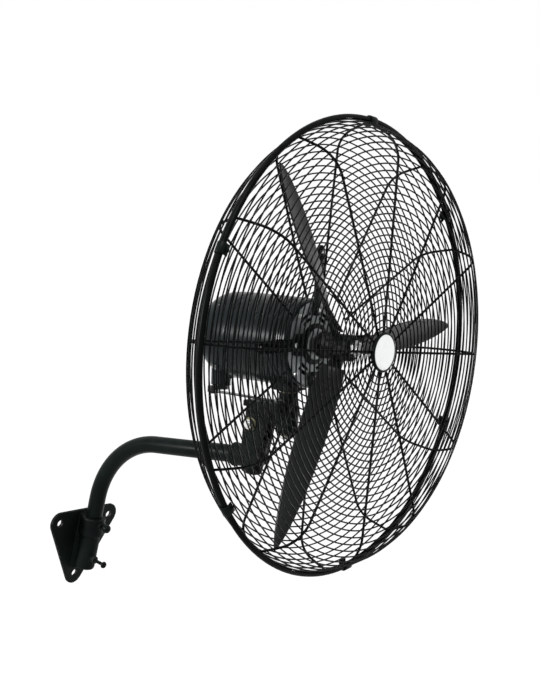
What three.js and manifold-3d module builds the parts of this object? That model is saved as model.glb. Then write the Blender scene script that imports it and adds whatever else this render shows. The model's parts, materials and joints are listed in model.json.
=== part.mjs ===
// Wall mounted oscillating fan: a 750 mm blade sweep in a two-part wire guard.
// Millimetres, +Z up. The wall is the plane y = 0 and the fan blows towards -Y.
// The origin is the centre of the wall plate's back face.
import * as THREE from "three";
import { mergeVertices } from "three/addons/utils/BufferGeometryUtils.js";
import Module from "manifold-3d";

const wasm = await Module();
wasm.setup();

// ---------- Driving dimensions ----------

const FIT = 0.3; // clearance between two pieces that touch or turn on each other
const CHAMFER = 1; // the smallest broken edge on turned and cast pieces
const OVERCUT = 1; // how far a cutting tool, or a joined piece, runs past its face

// Wall bracket
const PLATE_THICKNESS = 7;
const BOLT_SPAN = 139.2; // between the two upper wall bolts
const UPPER_BOLT_Z = 50.5;
const LOWER_BOLT_Z = -69.7;
const BOLT_HOLE_R = 7.5;
const PLATE_CORNER_R = 23.5;
const SOCKET_STANDOFF = 30; // wall to the axis of the arm's upright leg
const SOCKET_WALL = 3.4;
const SOCKET_BOTTOM_Z = -47;
const SOCKET_FLOOR = 6;
const COLLAR_R = 25.5;
const COLLAR_BOTTOM_Z = 27;
const COLLAR_TOP_Z = 65;
const COLLAR_CHAMFER = 2.5;
const WEB_WIDTH = 22;
const WEB_SLOPE = 3; // how far the web's top edge rises or falls from the collar's top
const WEB_SUNK = 6; // how far the web's nose stops behind the socket's axis
const WEB_ABOVE_HOLE = 8;
const CLAMP_Z = 53;
const CLAMP_SHANK_R = 4;
const CLAMP_HEAD_R = 8.5;
const CLAMP_HEAD_LENGTH = 10;
const CLAMP_REACH = 46; // socket axis to the outer face of the screw's head
const STEADY_Z = -22;
const STEADY_SHANK_R = 3.5;
const STEADY_HEAD_R = 7;
const STEADY_HEAD_LENGTH = 6.5;
const STEADY_REACH = 54.5;
const BOSS_LENGTH = 6; // how far a screw boss stands off the socket
const BOSS_WALL = 5;

// Arm
const TUBE_R = 16.7;
const TUBE_WALL = 2.6;
const ARM_CORNER_Z = 232.9; // where the leg's axis would meet the run's axis
const ARM_BEND_R = 164.5;
const ARM_RISE = 14.45; // degrees that the run climbs away from the wall
const ARM_RUN = 361.3; // from that corner to the end of the tube, along the run

// Neck casting and tilt hinge
const NECK_R = 22;
const NECK_DEPTH = 30; // neck axis below the tube's axis, at its foot
const SLEEVE_LENGTH = 36;
const SLEEVE_WALL = 4.6;
const TILT_ABOVE_TUBE = 64.4; // tilt hinge above the tube's end
const CHEEK_THICKNESS = 8;
const CHEEK_CORNER_R = 20;
const NECK_CHAMFER = 4;
const NECK_TAPER = 1;
const NECK_BELOW_LUG = 2; // gap from the neck's flat top up to the lug
const NECK_TOP_BAND = 6;
const LUG_THICKNESS = 21;
const LUG_R = 21;
const TILT_BOLT_R = 6;
const TILT_HEAD_R = 10;
const TILT_HEAD_LENGTH = 7;
const TILT_BOLT_TAIL = 4; // thread past the nut
const WASHER_R = 13;
const WASHER_THICKNESS = 2;
const HEAD_ELEVATION = 11.08; // degrees that the fan looks up, as hung

// Yoke, measured in the fan's own frame from the tilt hinge and the pivot
const PIVOT_TO_TILT = 68.5; // along the fan axis
const TILT_BELOW_AXIS = 159.5;
const YOKE_PLATE_THICKNESS = 11;
const YOKE_PLATE_ABOVE_TILT = 30.5;
const YOKE_HALF_WIDTH = 16;
const YOKE_TAIL = 86; // pivot axis to the plate's rear edge, less its corner radius
const YOKE_CORNER_R = 10;
const YOKE_RIB = 8;
const LUG_FORWARD = 14; // how far the lug's root runs forward of the tilt bolt
const HOUSING_R = 21;
const HOUSING_NECK_R = 17.5;
const HOUSING_BELOW_PLATE = 40;
const HOUSING_ABOVE_PLATE = 24;
const HOUSING_CHAMFER = 3;
const PIN_R = 9;
const BUSH_WALL = 3.2;
const BUSH_LENGTH = 18;
const BUSH_FLANGE = 2;
const FLANGE_INSET = 2; // flange edge inside the housing's neck
const PIN_TAIL = 8;
const COLLAR_HEIGHT = 6;

// Oscillating linkage
const STUD_OFFSET = 30; // pivot axis to the fixed stud
const STUD_R = 4;
const STUD_SLACK = 2.5; // play that the rod's open eye has round the stud
const CRANK_THROW = 24.1;
const CRANK_AXIS_BEHIND_PIVOT = 158.5;
const CRANK_HUB_R = 15;
const CRANK_THICKNESS = 6.5;
const CRANK_PIN_R = 4;
const ROD_THICKNESS = 4;
const ROD_EYE_R = 10;
const ROD_HALF_WIDTH = 3.5;
const PIN_HEAD_R = 7;
const PIN_HEAD_THICKNESS = 2.5;
const ROD_ABOVE_PLATE = 7.5;
const CRANK_SHAFT_R = 6;
const CRANK_SHAFT_LENGTH = 30;
const CRANK_HOLE_SPARE = 10; // depth left past the end of the crank's shaft

// Motor, along the fan axis; 0 is the plane of the guard's rim
const BELL_FRONT = 69.4;
const BELL_LENGTH = 34;
const BELL_SHOULDER = 9; // length of the bell's slanted front edge
const BELL_SHOULDER_IN = 8; // how far that edge draws in
const MOTOR_R = 81;
const SHELL_WALL = 3.5;
const SHELL_LENGTH = 108;
const DOME_LENGTH = 87;
const DOME_POWER = 3.4;
const DOME_CROWDING = 0.8; // draws the profile's points towards the open end
const BOSS_R = 28;
const BOSS_PROUD = 7;
const VENT_COUNT = 6;
const VENT_INNER_R = 44;
const VENT_OUTER_R = 60;
const SHAFT_R = 10;
const SHAFT_PLAY = 2; // wider holes that the shaft only passes
const SHAFT_PAST_NUT = 4;
const SHAFT_PAST_BEARING = 12;
const BEARING_R = 20;
const BEARING_WIDTH = 13;
const FRONT_BEARING_STEP = 2;
const REAR_BEARING_STEP = 6;
const ROTOR_GAP = 0.8;
const STATOR_FIT = 0.7;
const STATOR_BORE_R = 46.4;
const STATOR_LENGTH = 62;
const WINDING_LENGTH = 12;
const WINDING_R = 68;
const WINDING_EDGE = 3;
const WINDING_INSET = 4;
const FOOT_HALF_WIDTH = 30;
const FOOT_HALF_LENGTH = 22;
const FOOT_OVERHANG = 6.5; // foot past the barrel's front edge
const FOOT_CORNER_R = 8;
const FOOT_BOSS_HEIGHT = 3;
const CRANKCASE_R = 19.5;
const CRANKCASE_TOP_Z = -30;

// Guards
const RIM_R = 400;
const RIM_BAND_R = 5.7; // half-round hoop over the two guards' edge wires
const RIB_COUNT = 12;
const FIRST_RIB = -3.27; // degrees from +X, seen from the front
const RIB_WIDTH = 5;
const WIRE = 3;
const RING_PITCH = 45;
const FRONT_HUB_WIDTH = 12;
const REAR_HUB_WIDTH = 8;
const FRONT_CORNER_R = 353.5;
const FRONT_DEPTH = 69.7;
const FRONT_CROWN = 5.6; // how much deeper the front is at its centre
const FRONT_HUB_R = 30;
const REAR_CORNER_R = 360.6;
const REAR_DEPTH = 57;
const REAR_HUB_R = 166;
const REAR_CROWN = 5.8;
const EDGE_HALF_GAP = 2.4; // rim plane to the middle of a guard's edge wire
const CLIP_ANGLES = [85, 155, 218, 276, 336, 37.5];
const CLIP_LENGTH = 26;
const CLIP_WALL = 2.4;
const CLIP_LIP = 1; // straight lip past the hoop's edge
const STRAP_WIDTH = 22;
const STRAP_THICKNESS = 4;
const STRAP_COUNT = 4;
const STRAP_RING_R = 64;

// Badge
const BADGE_R = 35;
const BADGE_DISC_R = 31;
const BADGE_THICKNESS = 4;
const BADGE_DISC_THICKNESS = 1.4;
const BADGE_DOME = 0.4;
const CLAMP_PLATE = 2;
const CLAMP_STUD_R = 6;
const CLAMP_STUD_LENGTH = 4;

// Rotor
const SWEEP_R = 375;
const BLADE_COUNT = 3;
const FIRST_BLADE = 5; // degrees from +X, seen from the front
const BLADE_ROOT_R = 40;
const BLADE_WIDEST_R = 190;
const BLADE_CHORD = 60;
const BLADE_HELIX = 76; // the blade advances 2 pi times this in one turn
const BLADE_SWEEP_BACK = 5;
const BLADE_MID_Y = 10;
const BLADE_CAMBER = 0.07;
const BLADE_THICKNESS = 3.2;
const ROOT_TAPER = 0.28; // share of the chord lost at the blade's root
const TIP_ROUNDNESS = 0.7;
const TIP_MARGIN = 0.5;
const ARM_WIDTH = 26;
const ARM_REACH = 104;
const ARM_THICKNESS = 4;
const HUB_R = 33;
const HUB_FRONT = -15;
const HUB_REAR = 56;
const HUB_CHAMFER = 4;
const ARM_SUNK = 6; // how far a hub arm starts inside the hub
const NUT_R = 15;
const NUT_LENGTH = 10;

// ---------- Places worked out from them ----------

const rad = THREE.MathUtils.degToRad;
const SOCKET_BORE_R = TUBE_R + FIT;
const FOOT_Z = SOCKET_BOTTOM_Z + SOCKET_FLOOR + FIT;
const RUN = new THREE.Vector3(0, -Math.cos(rad(ARM_RISE)), Math.sin(rad(ARM_RISE)));
const ARM_CORNER = new THREE.Vector3(0, -SOCKET_STANDOFF, ARM_CORNER_Z);
const TUBE_END = ARM_CORNER.clone().addScaledVector(RUN, ARM_RUN);
const TILT = new THREE.Vector3(0, TUBE_END.y, TUBE_END.z + TILT_ABOVE_TUBE);
const CHEEK_INNER = LUG_THICKNESS / 2 + FIT;
const CHEEK_OUTER = CHEEK_INNER + CHEEK_THICKNESS;

// The fan's own frame: x as the wall's, y along the fan axis to the rear, z up.
const TILT_Z = -TILT_BELOW_AXIS;
const PLATE_BOTTOM = TILT_Z + YOKE_PLATE_ABOVE_TILT;
const PLATE_TOP = PLATE_BOTTOM + YOKE_PLATE_THICKNESS;
const HOUSING_TOP = PLATE_TOP + HOUSING_ABOVE_PLATE;
const HOUSING_BOTTOM = PLATE_BOTTOM - HOUSING_BELOW_PLATE;
const FOOT_BOTTOM = HOUSING_TOP + BUSH_FLANGE + 2 * FIT;
const SHELL_FRONT = BELL_FRONT + BELL_LENGTH + FIT;
const SHELL_REAR = SHELL_FRONT + SHELL_LENGTH;
const DOME_FRONT = SHELL_REAR + FIT;
const PIVOT_Y = SHELL_FRONT + FOOT_HALF_LENGTH - FOOT_OVERHANG;
const TILT_Y = PIVOT_Y + PIVOT_TO_TILT;
const CRANK_Y = PIVOT_Y + CRANK_AXIS_BEHIND_PIVOT;
const ROD_BOTTOM = PLATE_TOP + ROD_ABOVE_PLATE;
const ROD_TOP = ROD_BOTTOM + ROD_THICKNESS;
const CRANK_BOTTOM = ROD_TOP + FIT;
const CRANK_TOP = CRANK_BOTTOM + CRANK_THICKNESS;
const SHELL_INNER_R = MOTOR_R - SHELL_WALL;
const STATOR_FRONT = (SHELL_FRONT + SHELL_REAR - STATOR_LENGTH) / 2;
const STATOR_REAR = STATOR_FRONT + STATOR_LENGTH;
const FRONT_BEARING = BELL_FRONT + SHELL_WALL + FRONT_BEARING_STEP;
const REAR_BEARING = DOME_FRONT + REAR_BEARING_STEP;
const SHAFT_FRONT = HUB_FRONT - NUT_LENGTH - SHAFT_PAST_NUT;
const SHAFT_REAR = REAR_BEARING + BEARING_WIDTH + SHAFT_PAST_BEARING;

// ---------- Finishes ----------

const BLACK_PAINT = { color: 0x141817, roughness: 0.42, metalness: 0.2 };
const CAST_BLACK = { color: 0x101413, roughness: 0.55, metalness: 0.25 };
const BLADE_BLACK = { color: 0x1b1f1f, roughness: 0.5, metalness: 0.1 };
const ALUMINIUM = { color: 0x8b908f, roughness: 0.45, metalness: 0.9 };
const STEEL = { color: 0xa8aaab, roughness: 0.3, metalness: 1 };
const BRONZE = { color: 0x8a7a48, roughness: 0.4, metalness: 0.9 };
const COPPER = { color: 0x9c5a32, roughness: 0.5, metalness: 0.6 };
const WHITE = { color: 0xf2f2f0, roughness: 0.35, metalness: 0 };

// ---------- Shape helpers ----------

function piece(name, geometry, finish) {
  const mesh = new THREE.Mesh(geometry, new THREE.MeshStandardMaterial(finish));
  mesh.geometry.computeVertexNormals();
  mesh.name = name;
  return mesh;
}

// The same surface with shared vertices and without triangles that have no area.
function weld(geometry) {
  const bare = new THREE.BufferGeometry();
  bare.setAttribute("position", geometry.getAttribute("position"));
  bare.setIndex(geometry.index);
  const merged = mergeVertices(bare, 1e-3);
  const corners = Array.from(merged.index.array);
  const kept = [];
  for (let i = 0; i < corners.length; i += 3) {
    const [a, b, c] = corners.slice(i, i + 3);
    if (a !== b && b !== c && a !== c) kept.push(a, b, c);
  }
  merged.setIndex(kept);
  return merged;
}

function toSolid(geometry) {
  const closed = weld(geometry);
  return new wasm.Manifold(
    new wasm.Mesh({
      numProp: 3,
      vertProperties: closed.getAttribute("position").array,
      triVerts: new Uint32Array(closed.index.array),
    }),
  );
}

function toGeometry(solid) {
  const mesh = solid.getMesh();
  const geometry = new THREE.BufferGeometry();
  geometry.setAttribute("position", new THREE.BufferAttribute(mesh.vertProperties, 3));
  geometry.setIndex(new THREE.BufferAttribute(mesh.triVerts, 1));
  return geometry;
}

function join(...geometries) {
  return toGeometry(geometries.map(toSolid).reduce((whole, part) => whole.add(part)));
}

function cut(body, ...tools) {
  return toGeometry(tools.map(toSolid).reduce((left, tool) => left.subtract(tool), toSolid(body)));
}

// A round bar between two points.
function bar(radius, start, end, sides = 12, endRadius = radius) {
  const a = new THREE.Vector3(...start);
  const b = new THREE.Vector3(...end);
  const geometry = new THREE.CylinderGeometry(endRadius, radius, a.distanceTo(b), sides);
  const along = b.clone().sub(a).normalize();
  geometry.applyQuaternion(
    new THREE.Quaternion().setFromUnitVectors(new THREE.Vector3(0, 1, 0), along),
  );
  const middle = a.add(b).multiplyScalar(0.5);
  return geometry.translate(middle.x, middle.y, middle.z);
}

// Revolves a closed [radius, height] profile about the Y axis.
// A profile that reaches the axis starts and ends there.
function revolve(profile, sides = 24) {
  const points = profile.map(([r, h]) => new THREE.Vector2(r, h));
  if (THREE.ShapeUtils.area(points) < 0) points.reverse();
  if (points[0].x > 0) points.push(points[0].clone());
  return weld(new THREE.LatheGeometry(points, sides));
}

// The same about a vertical axis through (x, y).
function revolveUp(profile, x, y, sides = 20) {
  return revolve(profile, sides).rotateX(Math.PI / 2).translate(x, y, 0);
}

// A hexagon nut in a plane, with a round bore at the plane's own origin.
function hexNut(cornerR, boreR, plane, from, length) {
  const shape = new THREE.Shape(Array.from({ length: 6 }, (_, i) =>
    new THREE.Vector2(cornerR * Math.cos((Math.PI / 3) * i), cornerR * Math.sin((Math.PI / 3) * i))));
  shape.holes.push(circleHole(0, 0, boreR));
  return slab(shape, plane, from, length, 6);
}

function ringProfile(inner, outer, from, to) {
  return [[inner, from], [outer, from], [outer, to], [inner, to]];
}

// The outline of equal circles on the given centres, which run anticlockwise.
function roundedShape(centres, radius) {
  const shape = new THREE.Shape();
  centres.forEach(([x, y], i) => {
    const [px, py] = centres.at(i - 1);
    const [nx, ny] = centres[(i + 1) % centres.length];
    const start = Math.atan2(y - py, x - px) - Math.PI / 2;
    const end = Math.atan2(ny - y, nx - x) - Math.PI / 2;
    shape.absarc(x, y, radius, start, end, false);
  });
  return shape;
}

function circleHole(x, y, radius, sides = 16) {
  return new THREE.Path(Array.from({ length: sides }, (_, i) => {
    const angle = (-2 * Math.PI * i) / sides;
    return new THREE.Vector2(x + radius * Math.cos(angle), y + radius * Math.sin(angle));
  }));
}

// Turns a shape's own x, y and depth into two of the model's axes and the third.
const PLANES = {
  XY: new THREE.Matrix4(),
  YZ: new THREE.Matrix4().makeBasis(
    new THREE.Vector3(0, 1, 0), new THREE.Vector3(0, 0, 1), new THREE.Vector3(1, 0, 0)),
  XZ: new THREE.Matrix4().makeBasis(
    new THREE.Vector3(1, 0, 0), new THREE.Vector3(0, 0, 1), new THREE.Vector3(0, -1, 0)),
};

// A flat slab of a shape; from is its lowest place along the axis across the plane.
function slab(shape, plane, from, thickness, curveSegments = 4) {
  const geometry = new THREE.ExtrudeGeometry(shape, {
    depth: thickness, bevelEnabled: false, curveSegments,
  });
  geometry.applyMatrix4(PLANES[plane]);
  if (plane === "XY") return geometry.translate(0, 0, from);
  if (plane === "YZ") return geometry.translate(from, 0, 0);
  return geometry.translate(0, from + thickness, 0);
}

// A closed skin over equal rows of points, with a flat cap at each end.
function loft(rows) {
  const across = rows[0].length;
  const positions = rows.flat().flatMap((p) => [p.x, p.y, p.z]);
  const index = [];
  for (let i = 0; i + 1 < rows.length; i++) {
    for (let j = 0; j < across; j++) {
      const a = i * across + j;
      const b = i * across + ((j + 1) % across);
      index.push(a, b, b + across, a, b + across, a + across);
    }
  }
  const last = (rows.length - 1) * across;
  for (let j = 1; j + 1 < across; j++) {
    index.push(0, j + 1, j);
    index.push(last, last + j, last + j + 1);
  }
  const geometry = new THREE.BufferGeometry();
  geometry.setAttribute("position", new THREE.Float32BufferAttribute(positions, 3));
  geometry.setIndex(index);
  return facingOut(geometry);
}

// Turns every triangle round if the surface encloses a negative volume.
function facingOut(geometry) {
  const p = geometry.getAttribute("position");
  const corner = [0, 1, 2].map(() => new THREE.Vector3());
  const index = Array.from(geometry.index.array);
  let volume = 0;
  for (let i = 0; i < index.length; i += 3) {
    corner.forEach((v, k) => v.fromBufferAttribute(p, index[i + k]));
    volume += corner[0].dot(corner[1].cross(corner[2]));
  }
  if (volume < 0) {
    for (let i = 0; i < index.length; i += 3) {
      [index[i + 1], index[i + 2]] = [index[i + 2], index[i + 1]];
    }
    geometry.setIndex(index);
  }
  return geometry;
}

// A point at a radius and angle in the fan's own frame.
function polar(radius, angle, y) {
  return new THREE.Vector3(radius * Math.cos(angle), y, radius * Math.sin(angle));
}

// ---------- Wall bracket ----------

function wallBracket() {
  const halfSpan = BOLT_SPAN / 2;
  const corners = [[0, LOWER_BOLT_Z], [halfSpan, UPPER_BOLT_Z], [-halfSpan, UPPER_BOLT_Z]];
  const outline = roundedShape(corners, PLATE_CORNER_R);
  corners.forEach(([x, z]) => outline.holes.push(circleHole(x, z, BOLT_HOLE_R)));
  const plate = slab(outline, "XZ", -PLATE_THICKNESS, PLATE_THICKNESS);

  const y = -SOCKET_STANDOFF;
  const socketR = SOCKET_BORE_R + SOCKET_WALL;
  const socket = bar(socketR, [0, y, SOCKET_BOTTOM_Z], [0, y, COLLAR_BOTTOM_Z + OVERCUT], 20);
  const collar = revolveUp([
    [0, COLLAR_BOTTOM_Z],
    [COLLAR_R - COLLAR_CHAMFER, COLLAR_BOTTOM_Z],
    [COLLAR_R, COLLAR_BOTTOM_Z + COLLAR_CHAMFER],
    [COLLAR_R, COLLAR_TOP_Z - COLLAR_CHAMFER],
    [COLLAR_R - COLLAR_CHAMFER, COLLAR_TOP_Z],
    [0, COLLAR_TOP_Z],
  ], 0, y);
  const rootY = OVERCUT - PLATE_THICKNESS;
  const noseY = y + WEB_SUNK;
  const web = slab(new THREE.Shape([
    new THREE.Vector2(rootY, LOWER_BOLT_Z + BOLT_HOLE_R + WEB_ABOVE_HOLE),
    new THREE.Vector2(rootY, COLLAR_TOP_Z + WEB_SLOPE),
    new THREE.Vector2(noseY, COLLAR_TOP_Z - WEB_SLOPE),
    new THREE.Vector2(noseY, SOCKET_BOTTOM_Z + OVERCUT),
  ]), "YZ", -WEB_WIDTH / 2, WEB_WIDTH);
  const bosses = [
    screwBoss(CLAMP_Z, CLAMP_SHANK_R, COLLAR_R + BOSS_LENGTH / 2),
    screwBoss(STEADY_Z, STEADY_SHANK_R, socketR + BOSS_LENGTH),
  ];
  const casting = join(plate, socket, collar, web, ...bosses);

  const bottom = SOCKET_BOTTOM_Z + SOCKET_FLOOR;
  const bore = bar(SOCKET_BORE_R, [0, y, bottom], [0, y, COLLAR_TOP_Z + OVERCUT], 20);
  const clampHole = screwHole(CLAMP_Z, CLAMP_SHANK_R, CLAMP_REACH);
  const steadyHole = screwHole(STEADY_Z, STEADY_SHANK_R, STEADY_REACH);
  return cut(casting, bore, clampHole, steadyHole);
}

// The round boss that a press screw runs through, out to a reach from the socket's axis.
function screwBoss(z, shankR, reach) {
  return bar(shankR + BOSS_WALL, [0, -SOCKET_STANDOFF, z], [0, -SOCKET_STANDOFF - reach, z]);
}

function screwHole(z, shankR, reach) {
  return bar(shankR + FIT, [0, -SOCKET_STANDOFF, z], [0, -SOCKET_STANDOFF - reach, z]);
}

// A screw that presses on the arm's leg: shank, then a domed round head.
function pressScrew(z, shankR, headR, headLength, reach) {
  const tip = TUBE_R + FIT;
  const screw = revolve([
    [0, tip], [shankR - CHAMFER, tip], [shankR, tip + CHAMFER], [shankR, reach - headLength],
    [headR, reach - headLength], [headR, reach - 2 * CHAMFER], [headR - 2 * CHAMFER, reach],
    [0, reach],
  ], 10);
  return screw.rotateX(Math.PI).translate(0, -SOCKET_STANDOFF, z);
}

// ---------- Arm ----------

// The arm's centre line. Its parameter takes one step along each straight.
class ArmLine extends THREE.Curve {
  constructor(bendSteps) {
    super();
    this.steps = bendSteps + 2;
    this.bendSteps = bendSteps;
    const turn = Math.PI / 2 - rad(ARM_RISE);
    this.turn = turn;
    this.bendStart = ARM_CORNER_Z - ARM_BEND_R * Math.tan(turn / 2);
    this.start = new THREE.Vector3(0, -SOCKET_STANDOFF, FOOT_Z);
  }
  getPoint(t, target = new THREE.Vector3()) {
    const step = t * this.steps;
    if (step <= 1) {
      return target.copy(this.start).setZ(FOOT_Z + (this.bendStart - FOOT_Z) * step);
    }
    const share = Math.min((step - 1) / this.bendSteps, 1);
    const angle = this.turn * share;
    target.set(
      0,
      -SOCKET_STANDOFF - ARM_BEND_R * (1 - Math.cos(angle)),
      this.bendStart + ARM_BEND_R * Math.sin(angle),
    );
    if (share < 1) return target;
    return target.lerp(TUBE_END, Math.max(step - 1 - this.bendSteps, 0));
  }
  getUtoTmapping(u) {
    return u;
  }
}

function armTube() {
  const section = new THREE.Shape();
  section.absarc(0, 0, TUBE_R, 0, 2 * Math.PI, false);
  section.holes.push(circleHole(0, 0, TUBE_R - TUBE_WALL));
  const line = new ArmLine(9);
  return new THREE.ExtrudeGeometry(section, {
    steps: line.steps, bevelEnabled: false, extrudePath: line, curveSegments: 6,
  });
}

// The casting on the tube's end: a sleeve, an upright neck and two hinge cheeks.
function neckCasting() {
  const end = TUBE_END;
  const sleeveR = TUBE_R + FIT + SLEEVE_WALL;
  const back = end.clone().addScaledVector(RUN, -SLEEVE_LENGTH);
  const mouth = back.clone().addScaledVector(RUN, -OVERCUT);
  const stop = end.clone().addScaledVector(RUN, FIT);
  const sleeve = bar(sleeveR, back.toArray(), end.toArray(), 20);
  const axisY = end.y - NECK_R / 2;
  const foot = end.z - NECK_DEPTH;
  const neckTop = TILT.z - LUG_R - NECK_BELOW_LUG;
  const neck = revolveUp([
    [0, foot],
    [NECK_R - NECK_CHAMFER, foot],
    [NECK_R - NECK_TAPER, foot + NECK_CHAMFER],
    [NECK_R, neckTop - NECK_TOP_BAND],
    [NECK_R, neckTop],
    [0, neckTop],
  ], 0, axisY);
  const cheekCentres = [[axisY, end.z], [TILT.y, TILT.z], [axisY, TILT.z]];
  const cheekOutline = roundedShape(cheekCentres, CHEEK_CORNER_R);
  cheekOutline.holes.push(circleHole(TILT.y, TILT.z, TILT_BOLT_R + FIT));
  const cheeks = [CHEEK_INNER, -CHEEK_OUTER].map(
    (x) => slab(cheekOutline, "YZ", x, CHEEK_THICKNESS));
  const bore = bar(TUBE_R + FIT, mouth.toArray(), stop.toArray(), 20);
  return cut(join(sleeve, neck, ...cheeks), bore);
}

// ---------- Tilt bolt ----------

function tiltBolt() {
  const grip = CHEEK_OUTER + WASHER_THICKNESS + 2 * FIT;
  const head = hexNut(TILT_HEAD_R, TILT_BOLT_R / 2, "YZ", grip, TILT_HEAD_LENGTH)
    .translate(0, TILT_Y, TILT_Z);
  const tail = grip + TILT_HEAD_LENGTH + TILT_BOLT_TAIL;
  const shank = bar(TILT_BOLT_R, [-tail, TILT_Y, TILT_Z], [grip + OVERCUT, TILT_Y, TILT_Z]);
  return join(head, shank);
}

// side is 1 for the washer at +X and -1 for the one at -X.
function tiltWasher(side) {
  const inner = CHEEK_OUTER + FIT;
  const profile = ringProfile(TILT_BOLT_R + FIT, WASHER_R, inner, inner + WASHER_THICKNESS);
  return revolve(profile, 16).rotateZ(-side * Math.PI / 2).translate(0, TILT_Y, TILT_Z);
}

function tiltNut() {
  const outer = CHEEK_OUTER + WASHER_THICKNESS + 2 * FIT + TILT_HEAD_LENGTH;
  return hexNut(TILT_HEAD_R, TILT_BOLT_R + FIT, "YZ", -outer, TILT_HEAD_LENGTH)
    .translate(0, TILT_Y, TILT_Z);
}

// ---------- Yoke ----------

function tiltYoke() {
  const tail = PIVOT_Y + YOKE_TAIL;
  const nose = PIVOT_Y - YOKE_CORNER_R;
  const side = YOKE_HALF_WIDTH - YOKE_CORNER_R;
  const plate = slab(roundedShape([
    [-STUD_OFFSET, PIVOT_Y], [-side, nose], [side, nose], [side, tail], [-side, tail],
  ], YOKE_CORNER_R), "XY", PLATE_BOTTOM, YOKE_PLATE_THICKNESS);

  const lugRoot = PLATE_BOTTOM - LUG_R / 2;
  const lug = slab(roundedShape([
    [TILT_Y, TILT_Z], [TILT_Y, lugRoot], [TILT_Y - LUG_FORWARD, lugRoot],
  ], LUG_R), "YZ", -LUG_THICKNESS / 2, LUG_THICKNESS, 6);
  const aboveLug = new THREE.BoxGeometry(LUG_THICKNESS * 2, YOKE_TAIL * 2, LUG_R * 2)
    .translate(0, TILT_Y, PLATE_TOP - CHAMFER + LUG_R);
  const housing = revolveUp([
    [0, HOUSING_BOTTOM],
    [HOUSING_R - HOUSING_CHAMFER, HOUSING_BOTTOM],
    [HOUSING_R, HOUSING_BOTTOM + HOUSING_CHAMFER],
    [HOUSING_R, PLATE_TOP - CHAMFER],
    [HOUSING_NECK_R, PLATE_TOP + CHAMFER],
    [HOUSING_NECK_R, HOUSING_TOP],
    [0, HOUSING_TOP],
  ], 0, PIVOT_Y);
  const rib = slab(new THREE.Shape([
    new THREE.Vector2(PIVOT_Y, HOUSING_BOTTOM + YOKE_RIB),
    new THREE.Vector2(TILT_Y, lugRoot),
    new THREE.Vector2(TILT_Y, PLATE_BOTTOM + OVERCUT),
    new THREE.Vector2(PIVOT_Y, PLATE_BOTTOM + OVERCUT),
  ]), "YZ", -YOKE_RIB / 2, YOKE_RIB);
  const studBar = (radius, from, to) =>
    bar(radius, [-STUD_OFFSET, PIVOT_Y, from], [-STUD_OFFSET, PIVOT_Y, to]);
  const studSeat = studBar(PIN_HEAD_R, PLATE_BOTTOM + OVERCUT, ROD_BOTTOM - FIT);

  const boltHole = bar(TILT_BOLT_R + FIT,
    [-LUG_THICKNESS, TILT_Y, TILT_Z], [LUG_THICKNESS, TILT_Y, TILT_Z]);
  const pinHole = bar(PIN_R + BUSH_WALL + FIT,
    [0, PIVOT_Y, HOUSING_BOTTOM - OVERCUT], [0, PIVOT_Y, HOUSING_TOP + OVERCUT], 16);
  const studHole = studBar(STUD_R, PLATE_BOTTOM - OVERCUT, ROD_TOP);
  return cut(join(plate, cut(lug, aboveLug), housing, rib, studSeat), boltHole, pinHole, studHole);
}

// A flanged bush in the housing: up is 1 for the upper end, -1 for the lower.
function pivotBush(up) {
  const seat = up > 0 ? HOUSING_TOP + FIT : HOUSING_BOTTOM - FIT;
  const inner = PIN_R + FIT;
  const outer = PIN_R + BUSH_WALL;
  const edge = HOUSING_NECK_R - FLANGE_INSET;
  return revolveUp([
    [inner, seat + up * BUSH_FLANGE], [edge, seat + up * BUSH_FLANGE],
    [edge, seat], [outer, seat], [outer, seat - up * BUSH_LENGTH],
    [inner, seat - up * BUSH_LENGTH],
  ], 0, PIVOT_Y, 16);
}

// The stud that the link rod pulls on, with a washer head that keeps the rod down.
function linkStud() {
  const under = ROD_TOP + FIT;
  const head = PIN_HEAD_R + CHAMFER;
  return revolveUp([
    [0, PLATE_BOTTOM], [STUD_R - FIT, PLATE_BOTTOM], [STUD_R - FIT, ROD_BOTTOM],
    [STUD_R, ROD_BOTTOM], [STUD_R, under], [head, under], [head, under + PIN_HEAD_THICKNESS],
    [0, under + PIN_HEAD_THICKNESS],
  ], -STUD_OFFSET, PIVOT_Y, 12);
}

// ---------- Motor ----------

// Radius of the rear cover at a share of its length, from a superellipse.
function domeRadius(share, radius) {
  return radius * (1 - share ** DOME_POWER) ** (1 / DOME_POWER);
}

function domeProfile(radius, length, steps) {
  return Array.from({ length: steps + 1 }, (_, i) => {
    const share = Math.sin((Math.PI / 2) * (i / steps)) ** DOME_CROWDING;
    return [i === steps ? 0 : domeRadius(share, radius), DOME_FRONT + length * share];
  });
}

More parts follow.
